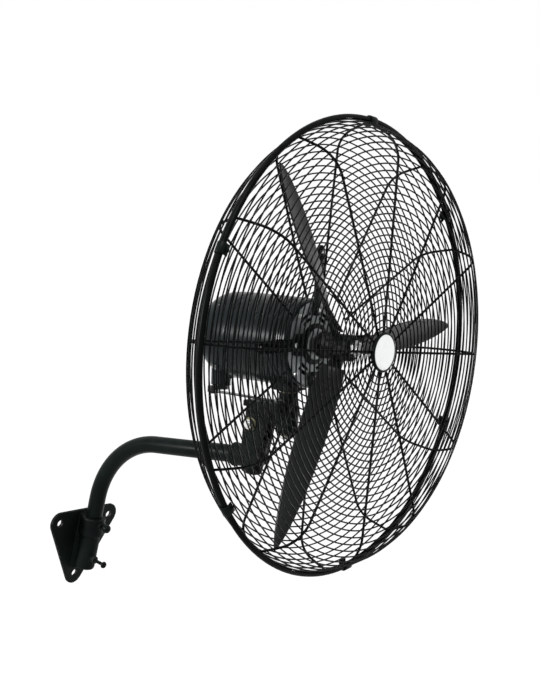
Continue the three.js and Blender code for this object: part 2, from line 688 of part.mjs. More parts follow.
function frontBell() {
  const face = BELL_FRONT + SHELL_WALL;
  const rear = BELL_FRONT + BELL_LENGTH;
  const bossFront = BELL_FRONT - BOSS_PROUD;
  const shoulder = BELL_FRONT + BELL_SHOULDER;
  const seat = BEARING_R + FIT;
  const bell = revolve([
    [SHAFT_R + SHAFT_PLAY, bossFront],
    [BOSS_R - 2 * CHAMFER, bossFront],
    [BOSS_R, bossFront + 2 * CHAMFER],
    [BOSS_R, BELL_FRONT],
    [MOTOR_R - BELL_SHOULDER_IN, BELL_FRONT],
    [MOTOR_R, shoulder],
    [MOTOR_R, rear],
    [SHELL_INNER_R, rear],
    [SHELL_INNER_R, shoulder + CHAMFER],
    [MOTOR_R - BELL_SHOULDER_IN - 2 * CHAMFER, face],
    [seat + SHELL_WALL, face],
    [seat + SHELL_WALL, FRONT_BEARING + BEARING_WIDTH],
    [seat, FRONT_BEARING + BEARING_WIDTH],
    [seat, FRONT_BEARING - FIT],
    [SHAFT_R + SHAFT_PLAY, FRONT_BEARING - FIT],
  ], 24);
  const width = Math.PI / VENT_COUNT;
  const vents = Array.from({ length: VENT_COUNT }, (_, i) => {
    const from = (i - 0.25) * 2 * width;
    const shape = new THREE.Shape();
    shape.absarc(0, 0, VENT_OUTER_R, from, from + width, false);
    shape.absarc(0, 0, VENT_INNER_R, from + width, from, true);
    return slab(shape, "XZ", BELL_FRONT - OVERCUT, SHELL_WALL + 2 * OVERCUT, 2);
  });
  return cut(bell, ...vents);
}

function motorShell() {
  return revolve(ringProfile(SHELL_INNER_R, MOTOR_R, SHELL_FRONT, SHELL_REAR), 28);
}

// The domed rear cover, with the crankcase barrel cast below it.
function rearCover() {
  const outside = domeProfile(MOTOR_R, DOME_LENGTH, 6);
  const inside = domeProfile(SHELL_INNER_R, DOME_LENGTH - SHELL_WALL, 4);
  const mouth = DOME_FRONT - OVERCUT;
  const dome = revolve([[0, DOME_FRONT], ...outside], 28);
  const hollow = revolve([[0, mouth], [SHELL_INNER_R, mouth], ...inside], 28);
  const foot = CRANK_TOP + FIT;
  const barrel = bar(CRANKCASE_R, [0, CRANK_Y, foot], [0, CRANK_Y, CRANKCASE_TOP_Z], 20);
  const depth = CRANK_SHAFT_LENGTH + CRANK_HOLE_SPARE;
  const shaftHole = bar(CRANK_SHAFT_R + FIT,
    [0, CRANK_Y, CRANK_TOP - OVERCUT], [0, CRANK_Y, CRANK_TOP + depth]);
  return cut(join(cut(dome, hollow), barrel), shaftHole);
}

function rearBearingPlate() {
  const seat = BEARING_R + FIT;
  const rear = REAR_BEARING + BEARING_WIDTH;
  const rim = SHELL_INNER_R - 2 * CHAMFER;
  return revolve([
    [seat, REAR_BEARING],
    [seat + SHELL_WALL, REAR_BEARING],
    [seat + SHELL_WALL, rear - SHELL_WALL],
    [rim, rear - SHELL_WALL],
    [rim, rear + SHELL_WALL],
    [SHAFT_R + SHAFT_PLAY, rear + SHELL_WALL],
    [SHAFT_R + SHAFT_PLAY, rear + FIT],
    [seat, rear + FIT],
  ], 20);
}

function bearing(front) {
  return revolve(ringProfile(SHAFT_R + FIT, BEARING_R, front, front + BEARING_WIDTH - FIT), 16);
}

function stator() {
  const outer = SHELL_INNER_R - STATOR_FIT;
  return revolve(ringProfile(STATOR_BORE_R, outer, STATOR_FRONT, STATOR_REAR), 20);
}

function winding(from) {
  const inner = STATOR_BORE_R + WINDING_INSET;
  const to = from + WINDING_LENGTH;
  return revolve([
    [inner, from], [WINDING_R - WINDING_EDGE, from], [WINDING_R, from + WINDING_EDGE],
    [WINDING_R, to - WINDING_EDGE], [WINDING_R - WINDING_EDGE, to], [inner, to],
  ], 16);
}

// The foot that hangs the motor on the pivot, with its pin.
function motorFoot() {
  const x = FOOT_HALF_WIDTH - FOOT_CORNER_R;
  const front = PIVOT_Y - FOOT_HALF_LENGTH + FOOT_CORNER_R;
  const rear = PIVOT_Y + FOOT_HALF_LENGTH - FOOT_CORNER_R;
  const outline = roundedShape([[-x, front], [x, front], [x, rear], [-x, rear]], FOOT_CORNER_R);
  const padBottom = FOOT_BOTTOM + FOOT_BOSS_HEIGHT;
  const pad = slab(outline, "XY", padBottom, MOTOR_R / 3, 3);
  const boss = bar(HOUSING_R, [0, PIVOT_Y, FOOT_BOTTOM], [0, PIVOT_Y, padBottom + OVERCUT], 20);
  const barrel = bar(MOTOR_R + FIT, [0, 0, 0], [0, 2 * PIVOT_Y, 0], 28);
  const pinEnd = HOUSING_BOTTOM - BUSH_FLANGE - 2 * FIT - PIN_TAIL;
  const pin = bar(PIN_R, [0, PIVOT_Y, FOOT_BOTTOM + OVERCUT], [0, PIVOT_Y, pinEnd], 16);
  return join(cut(join(pad, boss), barrel), pin);
}

// The collar that keeps the pivot pin in its housing.
function pinCollar() {
  const top = HOUSING_BOTTOM - BUSH_FLANGE - 2 * FIT;
  const bottom = top - COLLAR_HEIGHT;
  const edge = HOUSING_NECK_R - FLANGE_INSET;
  return revolveUp([
    [PIN_R + FIT, bottom], [edge - 2 * CHAMFER, bottom], [edge, bottom + 2 * CHAMFER],
    [edge, top], [PIN_R + FIT, top],
  ], 0, PIVOT_Y, 16);
}

// ---------- Crank and link rod ----------

function crank() {
  const web = slab(roundedShape([[0, CRANK_Y], [-CRANK_THROW, CRANK_Y]], ROD_EYE_R), "XY",
    CRANK_BOTTOM, CRANK_THICKNESS);
  const hub = bar(CRANK_HUB_R, [0, CRANK_Y, CRANK_BOTTOM], [0, CRANK_Y, CRANK_TOP], 20);
  const shaft = bar(CRANK_SHAFT_R,
    [0, CRANK_Y, CRANK_TOP - OVERCUT], [0, CRANK_Y, CRANK_TOP + CRANK_SHAFT_LENGTH]);
  const hole = bar(CRANK_PIN_R + FIT, [-CRANK_THROW, CRANK_Y, CRANK_BOTTOM - OVERCUT],
    [-CRANK_THROW, CRANK_Y, CRANK_TOP + OVERCUT]);
  return cut(join(web, hub, shaft), hole);
}

function crankPin() {
  const under = ROD_BOTTOM - FIT;
  return revolveUp([
    [0, under - PIN_HEAD_THICKNESS], [PIN_HEAD_R, under - PIN_HEAD_THICKNESS], [PIN_HEAD_R, under],
    [CRANK_PIN_R, under], [CRANK_PIN_R, CRANK_TOP], [0, CRANK_TOP],
  ], -CRANK_THROW, CRANK_Y, 12);
}

function linkRod() {
  const crankEye = [-CRANK_THROW, CRANK_Y];
  const studEye = [-STUD_OFFSET, PIVOT_Y];
  const strip = slab(roundedShape([crankEye, studEye], ROD_HALF_WIDTH), "XY",
    ROD_BOTTOM, ROD_THICKNESS);
  const eyes = [crankEye, studEye].map(([x, y]) =>
    bar(ROD_EYE_R, [x, y, ROD_BOTTOM], [x, y, ROD_TOP], 16));
  const eyeHole = (radius, [x, y]) =>
    bar(radius, [x, y, ROD_BOTTOM - OVERCUT], [x, y, ROD_TOP + OVERCUT]);
  const pinHole = eyeHole(CRANK_PIN_R + FIT, crankEye);
  const studHole = eyeHole(STUD_R + STUD_SLACK, studEye);
  return cut(join(strip, ...eyes), pinHole, studHole);
}

// ---------- Guards ----------

// A wire basket: rings on a profile of { r, y, width }, crossed by straight ribs.
// Between two ribs every ring has one middle point, so a rib pitch has three columns.
function wireBasket(rings) {
  const columns = 3 * RIB_COUNT;
  const pitch = (2 * Math.PI) / RIB_COUNT;
  const positions = [];
  rings.forEach((ring, k) => {
    const before = rings[Math.max(k - 1, 0)];
    const after = rings[Math.min(k + 1, rings.length - 1)];
    const along = new THREE.Vector2(after.r - before.r, after.y - before.y).normalize();
    const half = Math.asin(RIB_WIDTH / 2 / ring.r);
    const turns = [-half, half, pitch / 2];
    for (let c = 0; c < columns; c++) {
      const angle = rad(FIRST_RIB) + pitch * Math.floor(c / 3) + turns[c % 3];
      for (const side of [-1, 1]) {
        for (const layer of [-1, 1]) {
          const u = (side * ring.width) / 2;
          const w = (layer * WIRE) / 2;
          const r = ring.r + u * along.x + w * along.y;
          const p = polar(r, angle, ring.y + u * along.y - w * along.x);
          positions.push(p.x, p.y, p.z);
        }
      }
    }
  });
  const at = (k, c, side, layer) => ((k * columns + (c % columns)) * 2 + side) * 2 + layer;
  const index = [];
  const quad = (a, b, c, d) => index.push(a, b, c, a, c, d);
  const faces = (k1, s1, k2, s2, c) => {
    quad(at(k1, c, s1, 1), at(k2, c, s2, 1), at(k2, c + 1, s2, 1), at(k1, c + 1, s1, 1));
    quad(at(k1, c, s1, 0), at(k1, c + 1, s1, 0), at(k2, c + 1, s2, 0), at(k2, c, s2, 0));
  };
  const outerWall = (k, c) =>
    quad(at(k, c, 1, 0), at(k, c + 1, 1, 0), at(k, c + 1, 1, 1), at(k, c, 1, 1));
  const innerWall = (k, c) =>
    quad(at(k, c, 0, 0), at(k, c, 0, 1), at(k, c + 1, 0, 1), at(k, c + 1, 0, 0));
  for (let c = 0; c < columns; c++) {
    const onRib = c % 3 === 0;
    innerWall(0, c);
    outerWall(rings.length - 1, c);
    for (let k = 0; k < rings.length; k++) {
      faces(k, 0, k, 1, c);
      if (k + 1 === rings.length) continue;
      if (onRib) {
        const n = k + 1;
        faces(k, 1, n, 0, c);
        quad(at(k, c + 1, 1, 0), at(k, c + 1, 1, 1), at(n, c + 1, 0, 1), at(n, c + 1, 0, 0));
        quad(at(k, c, 1, 0), at(n, c, 0, 0), at(n, c, 0, 1), at(k, c, 1, 1));
      } else {
        outerWall(k, c);
        innerWall(k + 1, c);
      }
    }
  }
  const geometry = new THREE.BufferGeometry();
  geometry.setAttribute("position", new THREE.Float32BufferAttribute(positions, 3));
  geometry.setIndex(index);
  return facingOut(geometry);
}

// Ring places from the hub out over the face, round the corner and up to the rim.
// front is -1 for the front guard and 1 for the rear one.
function basketRings(front, hubR, hubWidth, cornerR, depth, crown) {
  const rings = [{ r: hubR, y: front * (depth + crown), width: hubWidth }];
  const faceCount = Math.max(Math.round((cornerR - hubR) / RING_PITCH), 1);
  for (let i = 1; i <= faceCount; i++) {
    const r = hubR + ((cornerR - hubR) * i) / faceCount;
    rings.push({ r, y: front * (depth + crown * (1 - i / faceCount)), width: WIRE });
  }
  const edgeR = RIM_R - RIM_BAND_R / 2;
  const wallCount = Math.max(Math.round(Math.hypot(edgeR - cornerR, depth) / RING_PITCH), 1);
  for (let i = 1; i <= wallCount; i++) {
    const share = i / wallCount;
    rings.push({
      r: cornerR + (edgeR - cornerR) * share,
      y: front * (depth + (EDGE_HALF_GAP - depth) * share),
      width: WIRE,
    });
  }
  return rings;
}

function frontGuard() {
  return wireBasket(basketRings(
    -1, FRONT_HUB_R, FRONT_HUB_WIDTH, FRONT_CORNER_R, FRONT_DEPTH, FRONT_CROWN));
}

function rearGuard() {
  return wireBasket(basketRings(
    1, REAR_HUB_R, REAR_HUB_WIDTH, REAR_CORNER_R, REAR_DEPTH, REAR_CROWN));
}

// The inner radius of the hoop, outside the guards' edge wires.
const BAND_INNER_R = RIM_R - RIM_BAND_R / 2 + WIRE + FIT;

function rimBand() {
  const steps = 4;
  const arc = Array.from({ length: steps + 1 }, (_, i) => {
    const angle = Math.PI * (i / steps - 0.5);
    return [BAND_INNER_R + RIM_BAND_R * Math.cos(angle), RIM_BAND_R * Math.sin(angle)];
  });
  return revolve(arc, 60);
}

// A clip that grips the hoop, made along the X axis and turned to its place.
function guardClip(degrees) {
  const inner = RIM_BAND_R + FIT;
  const outer = inner + CLIP_WALL;
  const shape = new THREE.Shape();
  const sideX = BAND_INNER_R - CLIP_LIP;
  shape.moveTo(sideX, -outer);
  shape.absarc(BAND_INNER_R, 0, outer, -Math.PI / 2, Math.PI / 2, false);
  shape.lineTo(sideX, outer);
  shape.lineTo(sideX, inner);
  shape.absarc(BAND_INNER_R, 0, inner, Math.PI / 2, -Math.PI / 2, true);
  shape.lineTo(sideX, -inner);
  const clip = slab(shape, "XY", -CLIP_LENGTH / 2, CLIP_LENGTH, 3);
  return clip.rotateY(-rad(degrees));
}

// Four straps from a ring on the motor's face out to the rear guard's hub ring.
function guardSpider() {
  const front = BELL_FRONT - FIT - STRAP_THICKNESS;
  const disc = new THREE.Shape().absarc(0, 0, STRAP_RING_R, 0, 2 * Math.PI, false);
  const ring = slab(disc, "XZ", front, STRAP_THICKNESS, 12);
  const straps = Array.from({ length: STRAP_COUNT / 2 }, (_, i) =>
    slab(roundedShape([[-REAR_HUB_R, 0], [REAR_HUB_R, 0]], STRAP_WIDTH / 2), "XZ",
      front, STRAP_THICKNESS, 4).rotateY((i * 2 * Math.PI) / STRAP_COUNT));
  const hole = bar(BOSS_R + FIT, [0, front - OVERCUT, 0], [0, BELL_FRONT + OVERCUT, 0], 24);
  return cut(join(ring, ...straps), hole);
}

// ---------- Badge ----------

const BADGE_BACK = -(FRONT_DEPTH + FRONT_CROWN) - WIRE / 2 - FIT;

function badgeHolder() {
  const front = BADGE_BACK - BADGE_THICKNESS;
  const floor = front + BADGE_DISC_THICKNESS + FIT;
  return revolve([
    [0, BADGE_BACK], [BADGE_R, BADGE_BACK], [BADGE_R, front + CHAMFER], [BADGE_R - CHAMFER, front],
    [BADGE_DISC_R + FIT, front], [BADGE_DISC_R + FIT, floor], [0, floor],
  ], 28);
}

function badgeDisc() {
  const front = BADGE_BACK - BADGE_THICKNESS;
  const back = front + BADGE_DISC_THICKNESS;
  return revolve([
    [0, front - BADGE_DOME], [BADGE_DISC_R / 2, front - 0.75 * BADGE_DOME], [BADGE_DISC_R, front],
    [BADGE_DISC_R, back], [0, back],
  ], 28);
}

// The plate behind the guard's centre ring that the badge is screwed to.
function badgeClamp() {
  const front = BADGE_BACK + WIRE + 2 * FIT;
  const back = front + CLAMP_PLATE;
  return revolve([
    [0, front], [BADGE_DISC_R, front], [BADGE_DISC_R, back], [CLAMP_STUD_R + CHAMFER, back],
    [CLAMP_STUD_R, back + CLAMP_STUD_LENGTH], [0, back + CLAMP_STUD_LENGTH],
  ], 20);
}

// ---------- Rotor ----------

// Chord at a radius: widest near mid blade, drawn in to a slender rounded tip.
function chordAt(r) {
  if (r < BLADE_WIDEST_R) {
    const inward = (BLADE_WIDEST_R - r) / (BLADE_WIDEST_R - BLADE_ROOT_R);
    return BLADE_CHORD * (1 - ROOT_TAPER * inward * inward);
  }
  const outward = (r - BLADE_WIDEST_R) / (SWEEP_R - BLADE_WIDEST_R);
  return BLADE_CHORD * (1 - outward * outward) ** TIP_ROUNDNESS;
}

// A point of the blade at radius r: across is along the chord, off is through it.
function bladePoint(r, across, off, turn) {
  const angle = Math.atan(BLADE_HELIX / r);
  const chord = chordAt(r);
  const camber = BLADE_CAMBER * chord * (1 - (2 * across / chord) ** 2);
  const through = camber + off;
  const sideways = across * Math.cos(angle) + through * Math.sin(angle) - BLADE_SWEEP_BACK;
  const y = BLADE_MID_Y - across * Math.sin(angle) + through * Math.cos(angle);
  return polar(r, turn + sideways / r, y);
}

// A plate that follows the blade's twisted surface, off from its middle layer.
function bladeSkin(radii, halfWidthAt, off, thickness, turn) {
  const steps = [-1, -0.5, 0, 0.5, 1];
  return loft(radii.map((r) => {
    const half = halfWidthAt(r);
    const rear = steps.map((s) => bladePoint(r, s * half, off + thickness / 2, turn));
    const front = steps.map((s) => bladePoint(r, s * half, off - thickness / 2, turn));
    return [...rear, ...front.reverse()];
  }));
}

// Even stations along the hub arm, where the twist is strong.
const ROOT_RADII = [0, 0.25, 0.5, 0.75, 1].map((share) =>
  THREE.MathUtils.lerp(BLADE_ROOT_R, ARM_REACH, share));

// Stations that crowd together towards the rounded tip.
const TIP_STEPS = 7;
const TIP_RADII = Array.from({ length: TIP_STEPS }, (_, i) => {
  const share = Math.sin((Math.PI / 2) * ((i + 1) / TIP_STEPS));
  return THREE.MathUtils.lerp(ARM_REACH, SWEEP_R - TIP_MARGIN, share);
});

function bladeTurn(number) {
  return rad(FIRST_BLADE + (360 / BLADE_COUNT) * number);
}

function blade(number) {
  const halfChord = (r) => chordAt(r) / 2;
  return bladeSkin(
    [...ROOT_RADII, ...TIP_RADII], halfChord, 0, BLADE_THICKNESS, bladeTurn(number));
}

// The hub with one arm behind each blade.
function bladeHub() {
  const bore = SHAFT_R + FIT;
  const hub = revolve([
    [bore, HUB_FRONT], [HUB_R - HUB_CHAMFER, HUB_FRONT], [HUB_R, HUB_FRONT + HUB_CHAMFER],
    [HUB_R, HUB_REAR - HUB_CHAMFER], [HUB_R - HUB_CHAMFER, HUB_REAR], [bore, HUB_REAR],
  ], 24);
  const off = BLADE_THICKNESS / 2 + 2 * FIT + ARM_THICKNESS / 2;
  const radii = [HUB_R - ARM_SUNK, ...ROOT_RADII];
  const arms = Array.from({ length: BLADE_COUNT }, (_, i) =>
    bladeSkin(radii, () => ARM_WIDTH / 2, off, ARM_THICKNESS, bladeTurn(i)));
  return join(hub, ...arms);
}

function hubNut() {
  return hexNut(NUT_R, SHAFT_R + FIT, "XZ", HUB_FRONT - FIT - NUT_LENGTH, NUT_LENGTH);
}

function shaft() {
  return revolve([
    [0, SHAFT_FRONT], [SHAFT_R - CHAMFER, SHAFT_FRONT], [SHAFT_R, SHAFT_FRONT + CHAMFER],
    [SHAFT_R, SHAFT_REAR], [0, SHAFT_REAR],
  ], 16);
}

function rotorCore() {
  const outer = STATOR_BORE_R - ROTOR_GAP;
  return revolve(ringProfile(SHAFT_R + FIT, outer, STATOR_FRONT, STATOR_REAR), 20);
}

// ---------- Assembly ----------

const fan = new THREE.Group();

fan.add(
  piece("wall_bracket", wallBracket(), CAST_BLACK),
  piece("clamp_screw",
    pressScrew(CLAMP_Z, CLAMP_SHANK_R, CLAMP_HEAD_R, CLAMP_HEAD_LENGTH, CLAMP_REACH), BLACK_PAINT),
  piece("steady_screw",
    pressScrew(STEADY_Z, STEADY_SHANK_R, STEADY_HEAD_R, STEADY_HEAD_LENGTH, STEADY_REACH), BLACK_PAINT),
  piece("arm_tube", armTube(), BLACK_PAINT),
  piece("neck_casting", neckCasting(), CAST_BLACK),
);

// Everything past the tilt hinge is built in the fan's own frame.
const tilted = new THREE.Group();
tilted.position.copy(TILT);
tilted.rotation.x = -rad(HEAD_ELEVATION);
const fanFrame = new THREE.Group();
fanFrame.position.set(0, -TILT_Y, -TILT_Z);
tilted.add(fanFrame);
fan.add(tilted);

fanFrame.add(
  piece("tilt_bolt", tiltBolt(), STEEL),
  piece("tilt_nut", tiltNut(), STEEL),
  piece("tilt_washer_left", tiltWasher(-1), BRONZE),
  piece("tilt_washer_right", tiltWasher(1), BRONZE),
  piece("tilt_yoke", tiltYoke(), CAST_BLACK),
  piece("pivot_bush_upper", pivotBush(1), BRONZE),
  piece("pivot_bush_lower", pivotBush(-1), BRONZE),
  piece("link_stud", linkStud(), STEEL),
  piece("motor_foot", motorFoot(), CAST_BLACK),
  piece("pin_collar", pinCollar(), STEEL),
  piece("motor_front_bell", frontBell(), ALUMINIUM),
  piece("motor_shell", motorShell(), BLACK_PAINT),
  piece("motor_rear_cover", rearCover(), BLACK_PAINT),
  piece("rear_bearing_plate", rearBearingPlate(), ALUMINIUM),
  piece("stator_core", stator(), STEEL),
  piece("winding_front", winding(STATOR_FRONT - FIT - WINDING_LENGTH), COPPER),
  piece("winding_rear", winding(STATOR_REAR + FIT), COPPER),
  piece("bearing_front", bearing(FRONT_BEARING), STEEL),
  piece("bearing_rear", bearing(REAR_BEARING), STEEL),
  piece("crank", crank(), STEEL),
  piece("crank_pin", crankPin(), STEEL),
  piece("link_rod", linkRod(), STEEL),
  piece("guard_spider", guardSpider(), BLACK_PAINT),
  piece("rear_guard", rearGuard(), BLACK_PAINT),
  piece("front_guard", frontGuard(), BLACK_PAINT),
  piece("rim_band", rimBand(), BLACK_PAINT),
  ...CLIP_ANGLES.map((degrees, i) =>
    piece(`guard_clip_${i + 1}`, guardClip(degrees), BLACK_PAINT)),
  piece("badge_holder", badgeHolder(), BLACK_PAINT),
  piece("badge_disc", badgeDisc(), WHITE),
  piece("badge_clamp", badgeClamp(), BLACK_PAINT),
  piece("motor_shaft", shaft(), STEEL),
  piece("rotor_core", rotorCore(), STEEL),
  piece("blade_hub", bladeHub(), CAST_BLACK),
  piece("hub_nut", hubNut(), STEEL),
  ...Array.from({ length: BLADE_COUNT }, (_, i) => piece(`blade_${i + 1}`, blade(i), BLADE_BLACK)),
);

export default fan;
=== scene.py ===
"""Dresses the wall mounted fan: smooth pieces with fine detail over the CAD frame.

Sizes are millimetres. Each piece is modelled in the frame that it belongs to, the wall's or the
fan's own, and is brought to metres in the wall's frame when it is finished.
"""

import json
import logging
import math
from collections.abc import Callable, Iterable, Iterator, Mapping, Sequence
from contextlib import contextmanager
from dataclasses import dataclass, field
from enum import Enum
from typing import Any, Union

import bpy
from mathutils import Matrix, Vector


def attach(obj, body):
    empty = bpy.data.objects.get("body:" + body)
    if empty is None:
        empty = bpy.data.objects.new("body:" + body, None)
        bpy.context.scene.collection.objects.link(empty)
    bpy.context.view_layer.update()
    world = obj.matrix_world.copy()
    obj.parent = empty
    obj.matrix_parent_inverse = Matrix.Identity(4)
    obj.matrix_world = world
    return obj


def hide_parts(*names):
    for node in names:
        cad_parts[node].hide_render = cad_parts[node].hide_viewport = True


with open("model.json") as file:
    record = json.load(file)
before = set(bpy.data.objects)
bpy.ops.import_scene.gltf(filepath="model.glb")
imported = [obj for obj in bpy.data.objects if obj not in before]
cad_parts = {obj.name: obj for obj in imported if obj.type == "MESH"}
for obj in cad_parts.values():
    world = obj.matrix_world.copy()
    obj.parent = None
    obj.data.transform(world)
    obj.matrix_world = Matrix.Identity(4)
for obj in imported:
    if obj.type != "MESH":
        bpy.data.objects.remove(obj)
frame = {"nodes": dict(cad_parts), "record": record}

log = logging.getLogger("wall_fan")

MM = 0.001
FIT = 0.3
SMOOTH_ANGLE = math.radians(35)

Point = Sequence[float]
Profile = Sequence[tuple[float, float]]
Colour = tuple[float, float, float, float]
Piece = bpy.types.Object


# ---------- Frames ----------

ARM_RISE = math.radians(14.45)
RUN = Vector((0, -math.cos(ARM_RISE), math.sin(ARM_RISE)))
ARM_CORNER = Vector((0, -30, 232.9))
RUN_LENGTH = 361.3
TUBE_END = ARM_CORNER + RUN * RUN_LENGTH
TILT = TUBE_END + Vector((0, 0, 64.4))
HEAD_ELEVATION = math.radians(11.08)
PIVOT_Y = 119.2
TILT_Y = 187.7
TILT_Z = -159.5
STUD_X = -30.0
BOLT_HOLE = 6.3
CORNER_ANGLES = [math.radians(45 + 90 * i) for i in range(4)]

WALL_FRAME = Matrix.Scale(MM, 4)
FAN_FRAME = (
    WALL_FRAME
    @ Matrix.Translation(TILT)
    @ Matrix.Rotation(-HEAD_ELEVATION, 4, "X")
    @ Matrix.Translation((0, -TILT_Y, -TILT_Z))
)
FAN_CENTRE = FAN_FRAME @ Vector((0, 0, 0))
FAN_AXIS = (FAN_FRAME.to_3x3() @ Vector((0, 1, 0))).normalized()


class Axis(Enum):
    """The axis that a turned piece, a bar or a flat plate is square to."""

    X = Vector((1, 0, 0))
    Y = Vector((0, 1, 0))
    Z = Vector((0, 0, 1))

    def keep(self, factor: float) -> tuple[float, float, float]:
        """Resize values that leave the length along this axis as it is."""
        return tuple(1.0 if part else factor for part in self.value)


# ---------- Bench: modelling with Blender's own operators ----------


def clear_bench() -> None:
    """Leaves edit mode and deselects everything, so that an operator touches one piece only."""
    if bpy.context.mode != "OBJECT":
        bpy.ops.object.mode_set(mode="OBJECT")
    bpy.ops.object.select_all(action="DESELECT")


def pick(*pieces: Piece) -> Piece:
    """Selects pieces and makes the first one active.

    Args:
        pieces: the pieces, of which the first becomes active.

    Returns:
        The active piece.
    """
    clear_bench()
    for piece in pieces:
        piece.select_set(True)
    bpy.context.view_layer.objects.active = pieces[0]
    return pieces[0]


@contextmanager
def editing(piece: Piece) -> Iterator[None]:
    """Edit mode on one piece with all of it selected, and object mode again afterwards.

    Args:
        piece: the piece to edit.

    Yields:
        Nothing; the edits go in the with block.
    """
    pick(piece)
    bpy.ops.object.mode_set(mode="EDIT")
    bpy.ops.mesh.select_all(action="SELECT")
    yield
    bpy.ops.object.mode_set(mode="OBJECT")


def settle() -> Piece:
    """Moves the active object's place and turn into its mesh."""
    bpy.ops.object.transform_apply(location=True, rotation=True, scale=True)
    return bpy.context.object


def moved(piece: Piece, place: Matrix) -> Piece:
    """Brings a piece to a place and keeps that place in its mesh.

    Args:
        piece: the piece.
        place: the matrix of its new place.

    Returns:
        The piece, with an untouched transform.
    """
    piece.matrix_world = place
    pick(piece)
    return settle()


def swung(angle: float) -> Matrix:
    """A turn about the fan's axis, from the x axis towards the z axis."""
    return Matrix.Rotation(-angle, 4, "Y")


def pull(step: Point) -> None:
    """Extrudes what is selected by a step."""
    bpy.ops.mesh.extrude_region_move(TRANSFORM_OT_translate={"value": step})


def close_up(piece: Piece, fill: bool = True) -> Piece:
    """Merges doubles, fills open ends unless told not to, and turns all faces outwards.

    Args:
        piece: the piece.
        fill: whether open ends are filled.

    Returns:
        The piece.
    """
    with editing(piece):
        bpy.ops.mesh.remove_doubles(threshold=0.01)
        bpy.ops.mesh.select_all(action="SELECT")
        if fill:
            bpy.ops.mesh.fill_holes(sides=0)
            bpy.ops.mesh.select_all(action="SELECT")
        bpy.ops.mesh.normals_make_consistent(inside=False)
    return piece


def ring_of_edges(radius: float, axis: Axis, at: Point, sides: int) -> Piece:
    """A bare circle of edges, square to an axis.

    Args:
        radius: the circle's radius.
        axis: the axis it is square to.
        at: its centre.
        sides: how many edges it has.

    Returns:
        The circle.
    """
    clear_bench()
    turn = Vector((0, 0, 1)).rotation_difference(axis.value).to_euler()
    bpy.ops.mesh.primitive_circle_add(vertices=sides, radius=radius, location=at, rotation=turn)
    return settle()


def turned(profile: Profile, axis: Axis = Axis.Y, sides: int = 72, at: Point = (0, 0, 0)) -> Piece:
    """Turns a piece: a ring is extruded and resized from station to station.

    Args:
        profile: (radius, station along the axis) pairs; a hollow piece's ends where it starts.
        axis: the axis it turns about.
        sides: how many sides stand for the round.
        at: a point that the axis runs through.

    Returns:
        The closed piece.
    """
    base = Vector(at)
    radius, station = profile[0]
    piece = ring_of_edges(radius, axis, base + axis.value * station, sides)
    with editing(piece):
        for next_radius, next_station in profile[1:]:
            pull(axis.value * (next_station - station))
            centre = base + axis.value * next_station
            bpy.ops.transform.resize(value=axis.keep(next_radius / radius), center_override=centre)
            radius, station = next_radius, next_station
    return close_up(piece)


def rod(radius: float, start: Point, end: Point, sides: int = 48) -> Piece:
    """A plain round bar between two points.

    Args:
        radius: the bar's radius.
        start: the middle of one end.
        end: the middle of the other end.
        sides: how many sides stand for the round.

    Returns:
        The bar.
    """
    clear_bench()
    a, b = Vector(start), Vector(end)
    turn = (b - a).to_track_quat("Z", "Y").to_euler()
    bpy.ops.mesh.primitive_cylinder_add(
        vertices=sides, radius=radius, depth=(b - a).length, location=(a + b) / 2, rotation=turn
    )
    return settle()


def block(size: Point, at: Point) -> Piece:
    """A plain block.

    Args:
        size: its three sides.
        at: its centre.

    Returns:
        The block.
    """
    clear_bench()
    bpy.ops.mesh.primitive_cube_add(size=1, location=at, scale=size)
    return settle()


def joined(*pieces: Piece) -> Piece:
    """Makes one mesh of several pieces.

    Args:
        pieces: the pieces, of which the first stays.

    Returns:
        The joined piece.
    """
    pick(*pieces)
    if len(pieces) > 1:
        bpy.ops.object.join()
    return bpy.context.object


def skinned(*pieces: Piece) -> Piece:
    """The taut skin round several pieces.

    Args:
        pieces: the pieces, which are used up.

    Returns:
        The closed skin.
    """
    piece = joined(*pieces)
    with editing(piece):
        bpy.ops.mesh.convex_hull()
    return close_up(piece)


def plate(
    centres: Profile, radius: float, axis: Axis, low: float, thickness: float, sides: int = 40
) -> Piece:
    """A flat plate with round corners.

    Args:
        centres: the corners' centres, in the two other axes in order.
        radius: the corners' radius.
        axis: the axis that the plate is square to.
        low: the lowest place along that axis.
        thickness: the plate's thickness.
        sides: sides of a full round.

    Returns:
        The plate.
    """
    order = {Axis.X: (0, 1, 2), Axis.Y: (1, 0, 2), Axis.Z: (1, 2, 0)}[axis]
    feet = [Vector([(low, *centre)[part] for part in order]) for centre in centres]
    return skinned(*[rod(radius, foot, foot + axis.value * thickness, sides) for foot in feet])


def apply_modifier(piece: Piece, kind: str, **settings: Any) -> Piece:
    """Adds a modifier with its settings and applies it.

    Args:
        piece: the piece.
        kind: the modifier's type.
        settings: its settings, by name.

    Returns:
        The piece.
    """
    pick(piece)
    modifier = piece.modifiers.new(kind, kind)
    for name, value in settings.items():
        setattr(modifier, name, value)
    bpy.ops.object.modifier_apply(modifier=modifier.name)
    return piece


def boolean(piece: Piece, operation: str, *tools: Piece) -> Piece:
    """Cuts, joins or intersects a piece with tools, which are used up.

    Args:
        piece: the piece.
        operation: DIFFERENCE, UNION or INTERSECT.
        tools: the other pieces.

    Returns:
        The piece.
    """
    for tool in tools:
        apply_modifier(piece, "BOOLEAN", operation=operation, solver="EXACT", object=tool)
        bpy.data.objects.remove(tool)
    return piece


def cut(piece: Piece, *tools: Piece) -> Piece:
    """Cuts tools away from a piece."""
    return boolean(piece, "DIFFERENCE", *tools)


